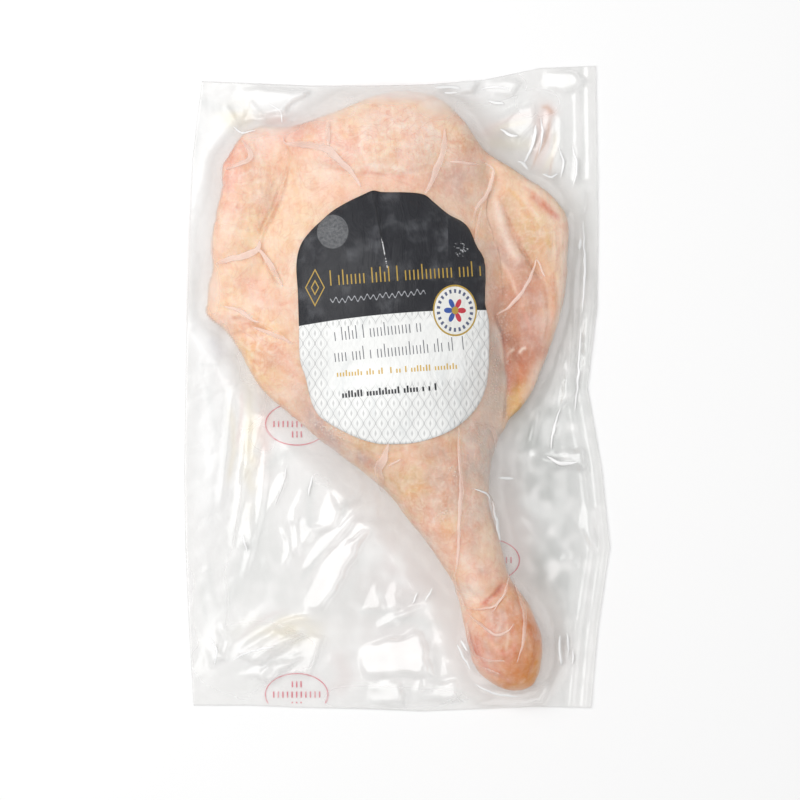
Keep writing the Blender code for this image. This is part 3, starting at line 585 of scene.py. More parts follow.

# Patches of painted shade and of juice in the film, strongest where it is slack: (tint, strength, centre,
# half sizes).
FILM_SHADE_AND_JUICE = [
    # Painted shade: greyer to the right, away from the main lamp, and darkest in the shadow beside the leg.
    ("grey", 0.9, (72, 10), (16, 90)),
    ("dark", 0.8, (65, -50), (15, 50)),
    ("rose", 0.9, (2, -82), (34, 34)),
    ("grey", 0.55, (-58, -74), (14, 24)),
    ("pink juice", 0.6, (-50, 114), (10, 3)),
    ("grey", 0.5, (-20, -92), (30, 12)),
    ("grey", 0.3, (0, -125), (60, 12)),
    ("rose", 0.7, (50, -60), (10, 26)),
    ("pink juice", 0.5, (61, 108), (3, 12)),
    ("pink juice", 0.6, (65, 119), (3, 3)),
    ("yellow juice", 0.5, (47, 105), (10, 3)),
    ("pink juice", 0.4, (38, 110), (8, 3)),
    ("yellow juice", 0.6, (-68, 116), (8, 5)),
    ("yellow juice", 0.5, (-63, -22), (3, 22)),
    ("pink juice", 0.4, (-57, -16), (3, 20)),
    ("darkest", 0.9, (57, -19), (9, 12)),
    ("darkest", 0.8, (65, -6), (5, 10)),
    ("darkest", 0.75, (64, -78), (9, 12)),
    ("darkest", 0.6, (60, -42), (8, 10)),
    ("dark", 0.8, (71, -91), (6, 10)),
    ("dark", 0.6, (48, 109), (8, 12)),
    ("grey", 0.7, (-36, -60), (6, 6)),
    ("grey", 0.7, (-12, -72), (6, 8)),
    ("yellow juice", 0.4, (-48, -104), (14, 5)),
]

# Soft strokes of painted shade where folds turn from the light, and of juice: (tint, strength, half width,
# line).
FILM_SHADES = [
    ("shade", 0.8, 3.2, [(-53, -39), (-57, -52), (-64, -71), (-71, -90), (-75, -99)]),
    ("shade", 0.9, 1.8, [(-35, -37), (-38, -52), (-37, -62)]),
    ("shade", 0.9, 2.2, [(-21, -46), (-24, -56)]),
    ("shade", 1.0, 1.2, [(-26, -60), (-37, -76), (-42, -84)]),
    ("shade", 0.5, 2.8, [(-13, -68), (-24, -92)]),
    ("shade", 0.9, 1.2, [(-18, -96), (0, -96)]),
    ("rosy", 1.0, 4.0, [(-27, -110), (-22, -124), (-30, -132)]),
    ("rosy", 1.0, 0.9, [(-71, -110), (-56, -98), (-45, -94)]),
    ("shade", 1.0, 1.0, [(-61, -120), (-39, -112)]),
    ("rosy", 0.9, 0.9, [(-56, -114), (-50, -104)]),
    ("shade", 0.8, 1.2, [(-80, -104), (-83, -92), (-82, -80)]),
    ("shade", 0.8, 1.2, [(-76, -96), (-80, -82), (-79, -72)]),
    ("shade", 0.8, 2.5, [(-14, -100), (6, -99), (24, -104)]),
    ("juice", 1.0, 1.0, [(-59, -105), (-46, -98), (-35, -99)]),
    ("shade", 0.8, 3.0, [(-59, -39), (-50, -29), (-36, -25)]),
    ("lilac", 0.9, 2.6, [(-80, 23), (-74, 12)]),
    ("shade", 0.9, 0.7, [(-86, 10), (-74, 10)]),
    ("shade", 0.9, 1.3, [(-82, 4), (-79, -10), (-76, -24)]),
    ("shade", 0.8, 1.0, [(-75, 4), (-73, -16), (-74, -40)]),
    ("juice", 1.0, 1.2, [(-72, -4), (-70, -24), (-73, -44)]),
    ("pink", 1.0, 0.9, [(-66, 2), (-67, -14), (-69, -28)]),
    ("shade", 0.8, 1.2, [(-85, 60), (-87, 40), (-86, 20)]),
    ("shade", 0.8, 1.2, [(-84, 118), (-86, 96), (-85, 72)]),
    # Painted shadow in a band along the leg's right edge.
    ("dim", 1.0, 2.2, [(74, 70), (75, 55), (74, 37), (72, 24), (68, 8), (64, -6), (61, -20)]),
    ("shade", 0.8, 1.4, [(84, 48), (84, 18)]),
    ("shade", 1.0, 3.0, [(66, -10), (64, -20), (66, -26)]),
    ("shade", 0.9, 2.0, [(78, 6), (80, -10), (76, -26)]),
    ("shade", 1.0, 5.0, [(58, -84), (66, -98), (66, -118)]),
    ("shade", 0.9, 3.0, [(50, -44), (60, -52), (72, -56)]),
    ("rosy", 1.0, 3.5, [(46, -46), (49, -62), (54, -78)]),
    ("shade", 0.5, 2.0, [(74, -76), (80, -92), (78, -112)]),
    ("shade", 0.9, 2.4, [(72, 80), (80, 74), (82, 60)]),
    ("shade", 1.0, 3.0, [(40, 100), (52, 92), (64, 84)]),
    ("pink", 1.0, 1.0, [(63, 121), (62, 108), (56, 96)]),
    ("pink", 1.0, 0.8, [(66, 118), (64, 104), (58, 94)]),
    ("pink", 0.8, 1.2, [(60, 119), (50, 116), (38, 110), (34, 107)]),
    ("juice", 0.8, 1.2, [(58, 115), (46, 112), (38, 108)]),
    ("blood", 1.0, 0.9, [(61, 120), (64, 120.5), (67, 116)]),
    ("blood", 0.9, 0.6, [(66, 117), (64, 108), (60, 100), (56, 92)]),
    ("blood", 0.6, 0.5, [(68, 106), (66, 97), (64, 88)]),
    ("juice", 1.0, 1.0, [(68, 112), (66, 100), (61, 90)]),
    ("juice", 0.9, 3.0, [(-70, 116), (-62, 112)]),
    ("shade", 0.8, 2.0, [(-88, 126), (-76, 120), (-62, 121)]),
    ("shade", 0.7, 2.0, [(-30, 127), (-10, 125), (4, 126)]),
]

# Where the slack film is crumpled: (strength, centre, half sizes), and how long its facets are there.
FILM_CRUMPLES = [
    (1.0, (-58, -115), (28, 18)),
    (0.6, (0, -116), (50, 18)),
    (0.6, (62, 110), (18, 18)),
    (0.4, (-70, -50), (20, 50)),
    (0.4, (72, -90), (18, 40)),
    (0.3, (74, 30), (14, 50)),
]
BROAD_FACETS = (62.0, 41.0, 27.0)
FINE_FACETS = (19.0, 13.0, 9.0)
FACET_SLOPE = 0.1

# Pleats where the film is folded double over the leg: (half width, line).
FILM_PLEATS = [
    (1.2, [(-66, 106), (-62, 98), (-73, 93)]),
    (1.5, [(-48, 107), (-47, 104), (-37, 103), (-29, 101), (-27, 99), (-20, 92), (-15, 85)]),
    (0.9, [(-29, 113), (-29, 102)]),
    (1.4, [(-77, 53), (-70, 55), (-60, 58), (-58, 63)]),
    (1.1, [(-60, 60), (-56, 56), (-51, 48), (-48, 43)]),
    (0.8, [(-74, 35), (-67, 33), (-61, 29), (-58, 28)]),
    (0.9, [(-61, 26), (-53, 23), (-44, 19)]),
    (1.4, [(20, 110), (20, 102), (18, 96), (15, 88), (12, 82)]),
    (0.6, [(22, 96), (36, 95)]),
    (0.9, [(37, 96), (41, 93), (40, 88), (38, 82), (34, 77), (32, 70)]),
    (0.6, [(36, 77), (34, 68), (33, 61)]),
    (0.8, [(59, 55), (57, 48), (53, 41), (48, 35), (42, 31)]),
    (0.5, [(59, 55), (63, 47)]),
    (0.75, [(26, -16), (26, -27), (27, -39), (26.5, -50), (26.4, -55), (25.7, -71), (24.2, -80)]),
    (0.7, [(24, -80), (26, -87), (29, -93)]),
    (0.7, [(33, -14), (38, -16), (41.5, -19), (42, -26)]),
    (0.7, [(31, -42), (37, -44), (40.5, -49), (43.5, -63)]),
    (0.7, [(49, -80), (53, -91), (54, -98), (53, -108), (50.5, -116)]),
    (0.6, [(30, -95), (33, -98), (38, -101.5), (42, -104), (47, -102), (49.5, -99)]),
    (0.5, [(47.5, -79), (46, -86), (42, -91), (38, -93), (30, -93.5)]),
    (0.35, [(48, -78), (45, -87), (40, -95)]),
    (0.6, [(29.5, -99), (31, -108), (34.5, -114), (46, -115)]),
    (0.5, [(35, -118), (44, -121)]),
    (0.6, [(-4, -33), (2, -29.5)]),
    (1.7, [(-3.5, -23), (-5.4, -29), (-7.9, -34), (-6.9, -38), (-6.4, -44)]),
]

# Narrow ridges in the film under the pleats, laid out as the folds are.
PLEAT_RIDGES = [(0.5, 1.4 * half_width, 1.4 * half_width, line) for half_width, line in FILM_PLEATS]

PLEAT_STEP = 0.9  # the distance between a pleat's cross-sections
GLINT_STEP = 0.7
PLEAT_SIDES = 8  # points in each cross-section
PLEAT_LIFT = 0.04  # the pleat's foot over the film
PLEAT_HEIGHT = 0.12  # how high a pleat's middle stands on its foot

# The red oval stamps: the centre of each, their half sizes and rows of dashes (up, half width, count).
STAMPS = [(-42.8, -15.2), (-42.9, -130.9), (39.0, -73.4)]
STAMP_HALF = (13.6, 9.2)
STAMP_ROWS = [(4.4, 2.8, 3), (0.0, 10.8, 11), (-4.4, 2.8, 3)]
STAMP_LINE = 0.42  # the width of an oval's line
STAMP_DASH = (0.55, 2.6)  # the width and height of a dash
STAMP_HEIGHT = 0.32  # the ink's height over the table, between the back film and the leg
STAMP_CUT = -134.6  # the bag's foot cuts off the lowest stamp here

# ---------------------------------------------------------------- the label

# The label's outline, clockwise from its top, and a crease down from there.
LABEL_EDGE = [
    (-10.2, 83.3), (-6.0, 82.7), (3.3, 82.6), (9.3, 82.2), (12.4, 81.2), (15.5, 78.5), (21.7, 73.4),
    (27.4, 70.4), (30.6, 67.0), (33.7, 59.9), (36.8, 54.6), (37.5, 46.0), (37.2, 36.0), (38.8, 28.0),
    (39.0, 16.0), (38.6, 6.0), (37.0, -1.5), (33.6, -8.0), (28.0, -14.0), (20.0, -19.0), (8.7, -22.6),
    (-1.7, -23.4), (-9.0, -23.0), (-18.0, -20.2), (-29.5, -14.2), (-34.0, -10.0), (-36.6, -4.0),
    (-38.6, 5.0), (-40.8, 12.0), (-41.2, 25.0), (-41.6, 40.0), (-42.3, 52.0), (-40.7, 60.0), (-37.0, 65.6),
    (-31.9, 70.6), (-27.0, 74.8), (-21.0, 78.4), (-15.0, 81.3),
]
LABEL_CENTRE = (-2.0, 31.0)
LABEL_CREASE = [(-10.2, 83.0), (-8.0, 73.5), (-4.6, 52.5)]
LABEL_RINGS = 44  # rings of points from the label's centre out to its edge
LABEL_GAP = 0.12  # the gap between the label and the skin
LABEL_THICK = 0.14
LABEL_STEPS = [(0, 0), (2, 0), (-2, 0), (0, 2), (0, -2)]  # it bridges hollows as wide as these steps

CREASE_LEAN = 0.19  # how far the crease moves right for each millimetre down
CREASE_HEIGHT = 0.5
CREASE_HALF = 1.6  # half the width of its ridge

TRELLIS_PITCH = 2.55  # the gap between the uprights of the pale field's trellis
TRELLIS_RISE = 8.4  # the length of one wave in them

# The charcoal field's lower edge sags from here to the left, by so much over the label's width.
FIELD_RIGHT = (38.7, 33.0)
FIELD_WIDTH = 80.0
FIELD_SAG = 6.8

# Round and pointed marks on the label: centre and half sizes.
LOZENGE = ((-34.4, 42.3), (4.2, 8.0))
SEAL = ((24.4, 32.7), (9.3, 10.8))
WET_SPOT = ((-27.0, 65.9), (6.8, 7.4))
PALE_FLECK = ((27.0, 59.0), (3.0, 4.0))

INKS = {
    "gold": seen(186, 154, 72),
    "pale gold": seen(214, 178, 96),
    "silver": seen(188, 190, 196),
    "grey": seen(104, 105, 112),
    "black": seen(44, 45, 50),
}

# Rows of plain strokes: (start, end, height, pitch, inked share of a pitch, seed of its gaps, ink).
LABEL_ROWS = [
    ((-28.5, 43.0), (35.5, 47.4), 6.4, 1.75, 0.3, 3.0, "gold"),
    ((-26.5, 19.8), (10.5, 23.8), 5.6, 1.5, 0.26, 11.0, "grey"),
    ((-26.5, 11.0), (28.5, 16.4), 5.6, 1.5, 0.26, 29.0, "grey"),
    ((-25.5, 4.8), (25.5, 8.2), 2.6, 1.25, 0.5, 47.0, "pale gold"),
    ((-24.5, -4.2), (18.5, -0.6), 2.9, 1.3, 0.62, 71.0, "black"),
]

# ---------------------------------------------------------------- the stage

PHOTO_CENTRE = (1.3, -4.9)  # the middle of the photo's frame
PHOTO_FIELD = 340.0  # the width and height that the photo's frame takes in
CAMERA_HEIGHT = 1.5  # in metres, over the plane where the frame takes that in
CAMERA_PLANE = 0.01  # that plane's height over the table, in metres
TABLE_HALF = 2.0  # half the table's width, in metres

# The lamps: (name, place and size in metres, share of the main lamp's power).
LAMPS = [
    ("lamp_left", (-0.62, 0.28, 1.1), 1.1, 1.0),
    ("lamp_fill", (0.9, -0.5, 1.2), 1.0, 0.31),
]

# ---------------------------------------------------------------- shapes and noise


def catmull_rom(before, here, after, beyond, t):
    """The point a share t of the way from here to after, on a smooth curve through all four."""
    return 0.5 * (2 * here + (after - before) * t
                  + (2 * before - 5 * here + 4 * after - beyond) * t**2
                  + (3 * here - before - 3 * after + beyond) * t**3)


def smooth_loop(points, per_span):
    """A closed smooth curve through points, as an array of places along it."""
    p = np.array(points, float)
    t = np.arange(per_span)[:, None, None] / per_span
    places = catmull_rom(np.roll(p, 1, 0), p, np.roll(p, -1, 0), np.roll(p, -2, 0), t)
    return places.transpose(1, 0, 2).reshape(-1, 2)


def smooth_line(points, step):
    """An open smooth curve through points, with places about a step apart."""
    p = np.array(points, float)
    ends = np.vstack([2 * p[:1] - p[1:2], p, 2 * p[-1:] - p[-2:-1]])
    runs = []
    for before, here, after, beyond in zip(ends, ends[1:], ends[2:], ends[3:]):
        count = max(2, int(np.linalg.norm(after - here) / step))
        t = np.arange(count)[:, None] / count
        runs.append(catmull_rom(before, here, after, beyond, t))
    return np.vstack([*runs, p[-1:]])


def distance_to_line(places, line):
    """Distance to an open line, share of the way along it, and which side of it: 1 is its left."""
    line = np.array(line, float)
    best = np.full(len(places), np.inf)
    share = np.zeros(len(places))
    side = np.ones(len(places))
    runs = len(line) - 1
    for i, (a, b) in enumerate(zip(line[:-1], line[1:])):
        along = b - a
        offset = places - a
        t = np.clip(offset @ along / (along @ along), 0, 1)
        gap = np.linalg.norm(offset - t[:, None] * along, axis=1)
        nearer = gap < best
        best = np.where(nearer, gap, best)
        share = np.where(nearer, (i + t) / runs, share)
        side = np.where(nearer, np.sign(along[0] * offset[:, 1] - along[1] * offset[:, 0]), side)
    return best, share, side


def ramp(value, low, high):
    """0 below low, 1 above high, and smooth between."""
    t = np.clip((value - low) / (high - low), 0, 1)
    return t * t * (3 - 2 * t)


def oval_share(at, centre, half, turn=0.0):
    """1 at the centre of an oval patch, fading to 0 outside it."""
    c, s = math.cos(math.radians(turn)), math.sin(math.radians(turn))
    x, y = (at - centre).T
    return np.exp(-0.8 * (((c * x + s * y) / half[0]) ** 2 + ((-s * x + c * y) / half[1]) ** 2))


def covered(at, patches):
    """The most that any oval patch gives each place, from patches (share, centre, half sizes)."""
    return np.max([share * oval_share(at, *oval) for share, *oval in patches], axis=0)


def end_fade(share, length):
    """1 along a line, fading to 0 over a length at its two ends."""
    return ramp(share, 0.0, length) * (1 - ramp(share, 1 - length, 1.0))


def brushed(at, line, fade, left, right=None):
    """1 along a line, fading to 0 at its ends and by the reach to its left and its right."""
    gap, along, side = distance_to_line(at, smooth_line(line, LINE_STEP))
    reach = left if right is None else np.where(side > 0, left, right)
    return end_fade(along, fade) * np.exp(-((gap / reach) ** 2))


def laid(colours, share, colour):
    """Colours with another laid over them, by a share at each place."""
    return colours + share[:, None] * (np.array(colour) - colours)


def noise_at(places, size, seed):
    """Smooth noise, -1 to 1, in blobs of about that size."""
    if places.shape[1] == 2:
        places = np.column_stack([places, np.zeros(len(places))])
    shift = Vector((seed * 13.7, seed * 7.1, seed * 3.3))
    return np.array([noise.noise(Vector(p) + shift) for p in places / size])


def sway_at(places, size, seed):
    """A smooth shift at each place, up to about 1 in X and in Y, that makes painted edges waver."""
    return np.column_stack([noise_at(places, size, seed), noise_at(places, size, seed + 1)])


def facets(places, lengths, seed):
    """Heights of flat facets between sharp creases, as crumpled film has."""
    draw = np.random.default_rng(seed)
    bend = [noise_at(places, 45.0, seed + k) for k in range(2)]
    height = np.zeros(len(places))
    for k, length in enumerate(lengths):
        angle = draw.uniform(0, math.pi)
        along = places @ np.array([math.cos(angle), math.sin(angle)]) / length
        along = along + draw.uniform() + 0.6 * bend[k % 2]
        where = ramp(noise_at(places, 1.2 * length, seed + 10 + k), -0.45, 0.45)
        height += FACET_SLOPE * length * where * np.abs(along - np.round(along))
    return height


# ---------------------------------------------------------------- mesh helpers


def places_of(verts):
    """Where a mesh's points are, in mm."""
    return np.array([v.co for v in verts]) / MM


def move_to(bm, places):
    """Puts each point at its place, given in mm."""
    for vert, place in zip(bm.verts, places * MM):
        vert.co = place


def merged_copy(node):
    """A copy of a CAD node's mesh with its triangles joined."""
    bm = bmesh.new()
    bm.from_mesh(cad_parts[node].data)
    bmesh.ops.remove_doubles(bm, verts=bm.verts, dist=1e-6)
    return bm


def object_from(bm, name, material=None):
    """A smooth-shaded object from a bmesh, linked to the scene."""
    mesh = bpy.data.meshes.new(name)
    bm.to_mesh(mesh)
    bm.free()
    if material:
        mesh.materials.append(material)
    mesh.shade_smooth()
    made = bpy.data.objects.new(name, mesh)
    bpy.context.scene.collection.objects.link(made)
    return made


def applied(obj):
    """The object's evaluated mesh as a bmesh. The object is removed."""
    bm = bmesh.new()
    bm.from_object(obj, bpy.context.evaluated_depsgraph_get())
    bpy.data.objects.remove(obj)
    return bm


def paint(obj, name, values):
    """A number or a colour at each vertex, for the material to read."""
    values = np.asarray(values, np.float32)
    kind, key = ("FLOAT", "value") if values.ndim == 1 else ("FLOAT_COLOR", "color")
    layer = obj.data.attributes.new(name, kind, "POINT")
    layer.data.foreach_set(key, values.ravel())


def surface_of(*names):
    """What rays from above find of these pieces."""
    graph = bpy.context.evaluated_depsgraph_get()
    return [BVHTree.FromObject(bpy.data.objects[name], graph) for name in names]


def height_over(places, trees):
    """The highest surface under each place, in mm, or 0 where there is none."""
    heights = np.zeros(len(places))
    down = Vector((0, 0, -1))
    for i, (x, y) in enumerate(places * MM):
        for tree in trees:
            hit = tree.ray_cast(Vector((x, y, 1.0)), down)[0]
            if hit is not None:
                heights[i] = max(heights[i], hit.z / MM)
    return heights


def settled(obj, slot, *nodes):
    """A finished piece: it rides on the pack, and may stand for CAD nodes."""
    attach(obj, "root")
    if nodes:
        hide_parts(*nodes)


# ---------------------------------------------------------------- material helpers


class Field:
    """A value that varies over a surface. Sums and comparisons on it add Math nodes."""

    def __init__(self, tree, socket):
        self.tree, self.socket = tree, socket

    def maths(self, operation, *others):
        """A Math node's result for this value and others, each a field or a number."""
        node = self.tree.nodes.new("ShaderNodeMath")
        node.operation = operation
        for slot, value in zip(node.inputs, (self, *others)):
            if isinstance(value, Field):
                self.tree.links.new(value.socket, slot)
            else:
                slot.default_value = value
        return Field(self.tree, node.outputs[0])

    def __add__(self, other):
        return self.maths("ADD", other)

    def __sub__(self, other):
        return self.maths("SUBTRACT", other)

    def __rsub__(self, other):
        return self * -1 + other

    def __mul__(self, other):
        return self.maths("MULTIPLY", other)

    def __truediv__(self, other):
        return self.maths("DIVIDE", other)

    def __pow__(self, power):
        return self.maths("POWER", power)

    def __abs__(self):
        return self.maths("ABSOLUTE")

    def __lt__(self, other):
        return self.maths("LESS_THAN", other)

    def __gt__(self, other):
        return self.maths("GREATER_THAN", other)

    def between(self, low, high):
        return (self > low) * (self < high)

    def either(self, other):
        return self.maths("MAXIMUM", other)

    def softly(self, low, high):
        """0 at low, 1 at high, and smooth between."""
        node = self.tree.nodes.new("ShaderNodeMapRange")
        node.interpolation_type = "SMOOTHSTEP"
        self.tree.links.new(self.socket, node.inputs["Value"])
        node.inputs["From Min"].default_value = low
        node.inputs["From Max"].default_value = high
        return Field(self.tree, node.outputs["Result"])


class Finish:
    """A material being built, with its Principled shader."""

    def __init__(self, name, colour, roughness):
        self.material = bpy.data.materials.new(name)
        self.material.use_nodes = True
        self.material.diffuse_color = colour
        self.tree = self.material.node_tree
        self.shader = self.tree.nodes["Principled BSDF"]
        self.shader.inputs["Base Color"].default_value = colour
        self.shader.inputs["Roughness"].default_value = roughness
        self.colour = None

    def add(self, kind, **values):
        """A new node with values for its sockets, or else for its settings."""
        node = self.tree.nodes.new(kind)
        for key, value in values.items():
            slot = node.inputs.get(key.replace("_", " "))
            if slot is None:
                setattr(node, key, value)
            else:
                slot.default_value = value
        return node

    def link(self, source, target):
        self.tree.links.new(source, target)

    def place(self):
        """Object coordinates in mm, as a vector socket."""
        where = self.add("ShaderNodeTexCoord").outputs["Object"]
        scaled = self.add("ShaderNodeVectorMath", operation="SCALE", Scale=1 / MM)
        self.link(where, scaled.inputs[0])
        return scaled.outputs[0]

    def xy(self):
        """The place's x and y in mm, as two fields."""
        parts = self.add("ShaderNodeSeparateXYZ")
        self.link(self.place(), parts.inputs[0])
        return Field(self.tree, parts.outputs["X"]), Field(self.tree, parts.outputs["Y"])

    def noise(self, size, detail=2.0, rough=0.5, distortion=0.0, stretch=None):
        """Noise, 0 to 1, in blobs of about that size in mm. A stretch makes them that many times narrower."""
        node = self.add("ShaderNodeTexNoise", Scale=1 / size, Detail=detail, Roughness=rough,
                        Distortion=distortion)
        where = self.place()
        if stretch:
            scaled = self.add("ShaderNodeVectorMath", operation="MULTIPLY")
            scaled.inputs[1].default_value = stretch
            self.link(where, scaled.inputs[0])
            where = scaled.outputs[0]
        self.link(where, node.inputs["Vector"])
        return Field(self.tree, node.outputs["Fac"])

    def cells(self, size):
        """Distance to the nearest of scattered points."""
        node = self.add("ShaderNodeTexVoronoi", Scale=1 / size)
        self.link(self.place(), node.inputs["Vector"])
        return Field(self.tree, node.outputs["Distance"])

    def painted(self, name):
        """A number painted on the mesh."""
        return Field(self.tree, self.add("ShaderNodeAttribute", attribute_name=name).outputs["Fac"])

    def painted_colour(self, name):
        """A colour painted on the mesh, as a socket."""
        return self.add("ShaderNodeAttribute", attribute_name=name).outputs["Color"]

    def tinted(self, share, colour):
        """Lays a colour over what the surface has so far, by a share that varies over it."""
        mix = self.add("ShaderNodeMix", data_type="RGBA")
        under, over, result = mix.inputs[6], mix.inputs[7], mix.outputs[2]
        self.link(share.socket, mix.inputs["Factor"])
        if self.colour is None:
            under.default_value = self.shader.inputs["Base Color"].default_value
        else:
            self.link(self.colour, under)
        over.default_value = colour
        self.colour = result
        self.link(self.colour, self.shader.inputs["Base Color"])

    def mixed(self, share, first, second):
        """A shader that turns from the first into the second by a share that varies over the surface."""
        node = self.add("ShaderNodeMixShader")
        for source, slot in zip((share.socket, first, second), node.inputs):
            self.link(source, slot)
        return node.outputs[0]

    def surfaced(self, shader):
        """Makes this shader the one that the surface shows."""
        self.link(shader, self.tree.nodes["Material Output"].inputs["Surface"])

    def bumped(self, height, depth):
        """Relief in mm over the surface, as a normal socket for other shaders too."""
        node = self.add("ShaderNodeBump", Strength=1.0, Distance=depth * MM)
        self.link(height.socket, node.inputs["Height"])
        self.link(node.outputs["Normal"], self.shader.inputs["Normal"])
        return node.outputs["Normal"]


# ---------------------------------------------------------------- finishes


def raw_skin(settings):
    """Moist, slightly see-through skin over fat, with its patches painted on the mesh."""
    skin = Finish("raw_skin", SKIN["cream"], 0.42)
    skin.colour = skin.painted_colour("tint")
    skin.link(skin.colour, skin.shader.inputs["Base Color"])
    mottle = skin.painted("mottle")
    for colour, strength, size in SKIN_MOTTLES:
        skin.tinted(skin.noise(size, 2.5, 0.55, 0.3).softly(0.45, 0.72) * mottle * strength, SKIN[colour])
    streaks = skin.noise(8.0, 2.0, 0.5, 0.6, stretch=(3.0, 1.0, 2.0))
    skin.tinted(streaks.softly(0.5, 0.7) * mottle * 0.2, SKIN["orange"])
    skin.tinted((1.0 - streaks).softly(0.5, 0.7) * mottle * 0.2, SKIN["pale"])
    veins = abs(skin.noise(11.0, 2.0, 0.5, 1.2) - 0.5)
    skin.tinted((0.02 - veins).softly(0.0, 0.02) * mottle * 0.3, SKIN["red"])
    grain = (0.5 - skin.cells(1.3)).softly(0.0, 0.3) * skin.painted("frost")
    skin.tinted(grain * 0.75, SKIN["pale"])
    skin.shader.inputs["Subsurface Weight"].default_value = settings.translucency
    skin.shader.inputs["Subsurface Radius"].default_value = SKIN_SCATTER
    skin.shader.inputs["Subsurface Scale"].default_value = 1.0
    skin.shader.inputs["Specular IOR Level"].default_value = 0.15
    skin.bumped(skin.noise(3.6, 3.0, 0.55) * 0.8 + streaks * 0.5 + grain * 0.6, 0.5)
    return skin.material


def clear_film(settings):
    """Clear glossy film, with sheens that grow towards a fold's edges, and haze that veils it in places."""
    film = Finish("clear_film", seen(253, 252, 250), 0.35)
    ripple = film.noise(11.0, 2.0, 0.5, 0.5) + film.noise(3.5, 2.0, 0.5) * 0.08
    normal = film.bumped(ripple, settings.film_ripple / MM)
    haze = film.painted("haze")
    tint = film.painted_colour("film_tint")
    clear = film.add("ShaderNodeBsdfTransparent")
    passed_on = film.add("ShaderNodeBsdfTranslucent")
    for shader, slot in ((clear, "Color"), (passed_on, "Color"), (film.shader, "Base Color")):
        film.link(tint, shader.inputs[slot])
    milk = film.mixed(haze * -0.6 + 0.6, film.shader.outputs[0], passed_on.outputs[0])
    veiled = film.mixed(haze, clear.outputs[0], milk)
    sheen = film.add("ShaderNodeBsdfGlossy", Color=(1, 1, 1, 1), Roughness=0.2)
    facing = film.add("ShaderNodeLayerWeight", Blend=0.5)
    for shader in (sheen, facing):
        film.link(normal, shader.inputs["Normal"])
    slant = Field(film.tree, facing.outputs["Facing"])
    gloss = (slant**1.5 * 0.8 + settings.film_gloss) * (film.painted("free_film") * 0.94 + 0.06)
    film.surfaced(film.mixed(gloss * (haze * -0.85 + 1.0), veiled, sheen.outputs[0]))
    return film.material


def folded_film(settings):
    """Film folded double, which looks milky, and painted white glints where a sharp fold catches the light.
    """
    film = Finish("folded_film", seen(250, 225, 213), 0.3)
    film.shader.inputs["Specular IOR Level"].default_value = 0.3
    clear = film.add("ShaderNodeBsdfTransparent")
    flat = 1.0 - Field(film.tree, film.add("ShaderNodeLayerWeight", Blend=0.5).outputs["Facing"])
    milk = (film.noise(7.0, 2.0).softly(0.2, 0.8) * 0.3 + settings.pleat_milk) * flat**3.0
    # Painted highlight: the glint ribbons are tinted white and made nearly opaque.
    painted_glint = film.painted("painted_glint")
    film.tinted(painted_glint, seen(255, 255, 255))
    film.surfaced(film.mixed(milk.either(painted_glint * 0.9), clear.outputs[0], film.shader.outputs[0]))
    return film.material


def stamp_ink(settings):
    """Thin red ink, patchy where it has worn."""
    ink = Finish("stamp_ink", (*settings.stamp_colour, 1.0), 0.5)
    ink.tinted(ink.noise(2.0, 3.0).softly(0.45, 0.7) * 0.5, seen(248, 214, 216))
    return ink.material


def label_print(settings):
    """Coated paper with a pale field, a charcoal field and plain marks printed on both."""
    paper = Finish("label_print", seen(247, 248, 247), 0.5)
    paper.shader.inputs["Specular IOR Level"].default_value = 0.25
    x, y = paper.xy()
    pale_trellis(paper, x, y)
    # Soft wrinkles in the paper: their bump, and painted grey shade over the same noise.
    creased = paper.noise(9.0, 3.0, 0.6, 0.8, stretch=(1.6, 0.5, 1.0))
    paper.tinted(creased.softly(0.5, 0.75) * 0.5, seen(222, 226, 227))
    charcoal_field(paper, x, y)
    for start, end, height, pitch, inked, seed, ink in LABEL_ROWS:
        paper.tinted(stroke_row(x, y, start, end, height, pitch, inked, seed), INKS[ink])
    # A silver wave under the first row, a nested lozenge beside it and a seal below its end.
    wave = y - (x * 0.094 + 39.2) - (x * 2.4).maths("SINE") * 0.9 - (x * 0.9).maths("SINE") * 0.4
    paper.tinted((abs(wave) < 0.3) * x.between(-28.0, 12.0) * 0.75, INKS["silver"])
    across, up = from_mark(x, y, LOZENGE)
    lozenge = abs(across) + abs(up)
    paper.tinted(lozenge.between(0.88, 1.0).either(lozenge.between(0.3, 0.42)), INKS["gold"])
    printed_seal(paper, *from_mark(x, y, SEAL))
    # The paper's crease, with painted shade in its upper part and a painted glint further down, and a pale
    # fleck.
    left, top = LABEL_CREASE[0]
    crease = abs((top - y) * CREASE_LEAN + left - x)
    paper.tinted((crease < 0.35) * y.between(62.0, 83.5) * 0.7, seen(24, 24, 28))
    painted_glint = paper.noise(1.5, 3.0, 0.7).softly(0.46, 0.52)
    paper.tinted((crease < 0.2) * y.between(50.5, 63.0) * painted_glint, seen(230, 230, 232))
    across, up = from_mark(x, y, PALE_FLECK)
    fleck = across**2.0 + up**2.0 < 1.0
    paper.tinted(fleck * paper.noise(1.1, 3.0, 0.7).softly(0.58, 0.62), seen(206, 208, 212))
    paper.bumped(creased * 1.6, 0.6)
    return paper.material


def from_mark(x, y, mark):
    """How far a place lies from a mark's centre, across and up, in its half sizes."""
    centre, half = mark
    return (x - centre[0]) / half[0], (y - centre[1]) / half[1]


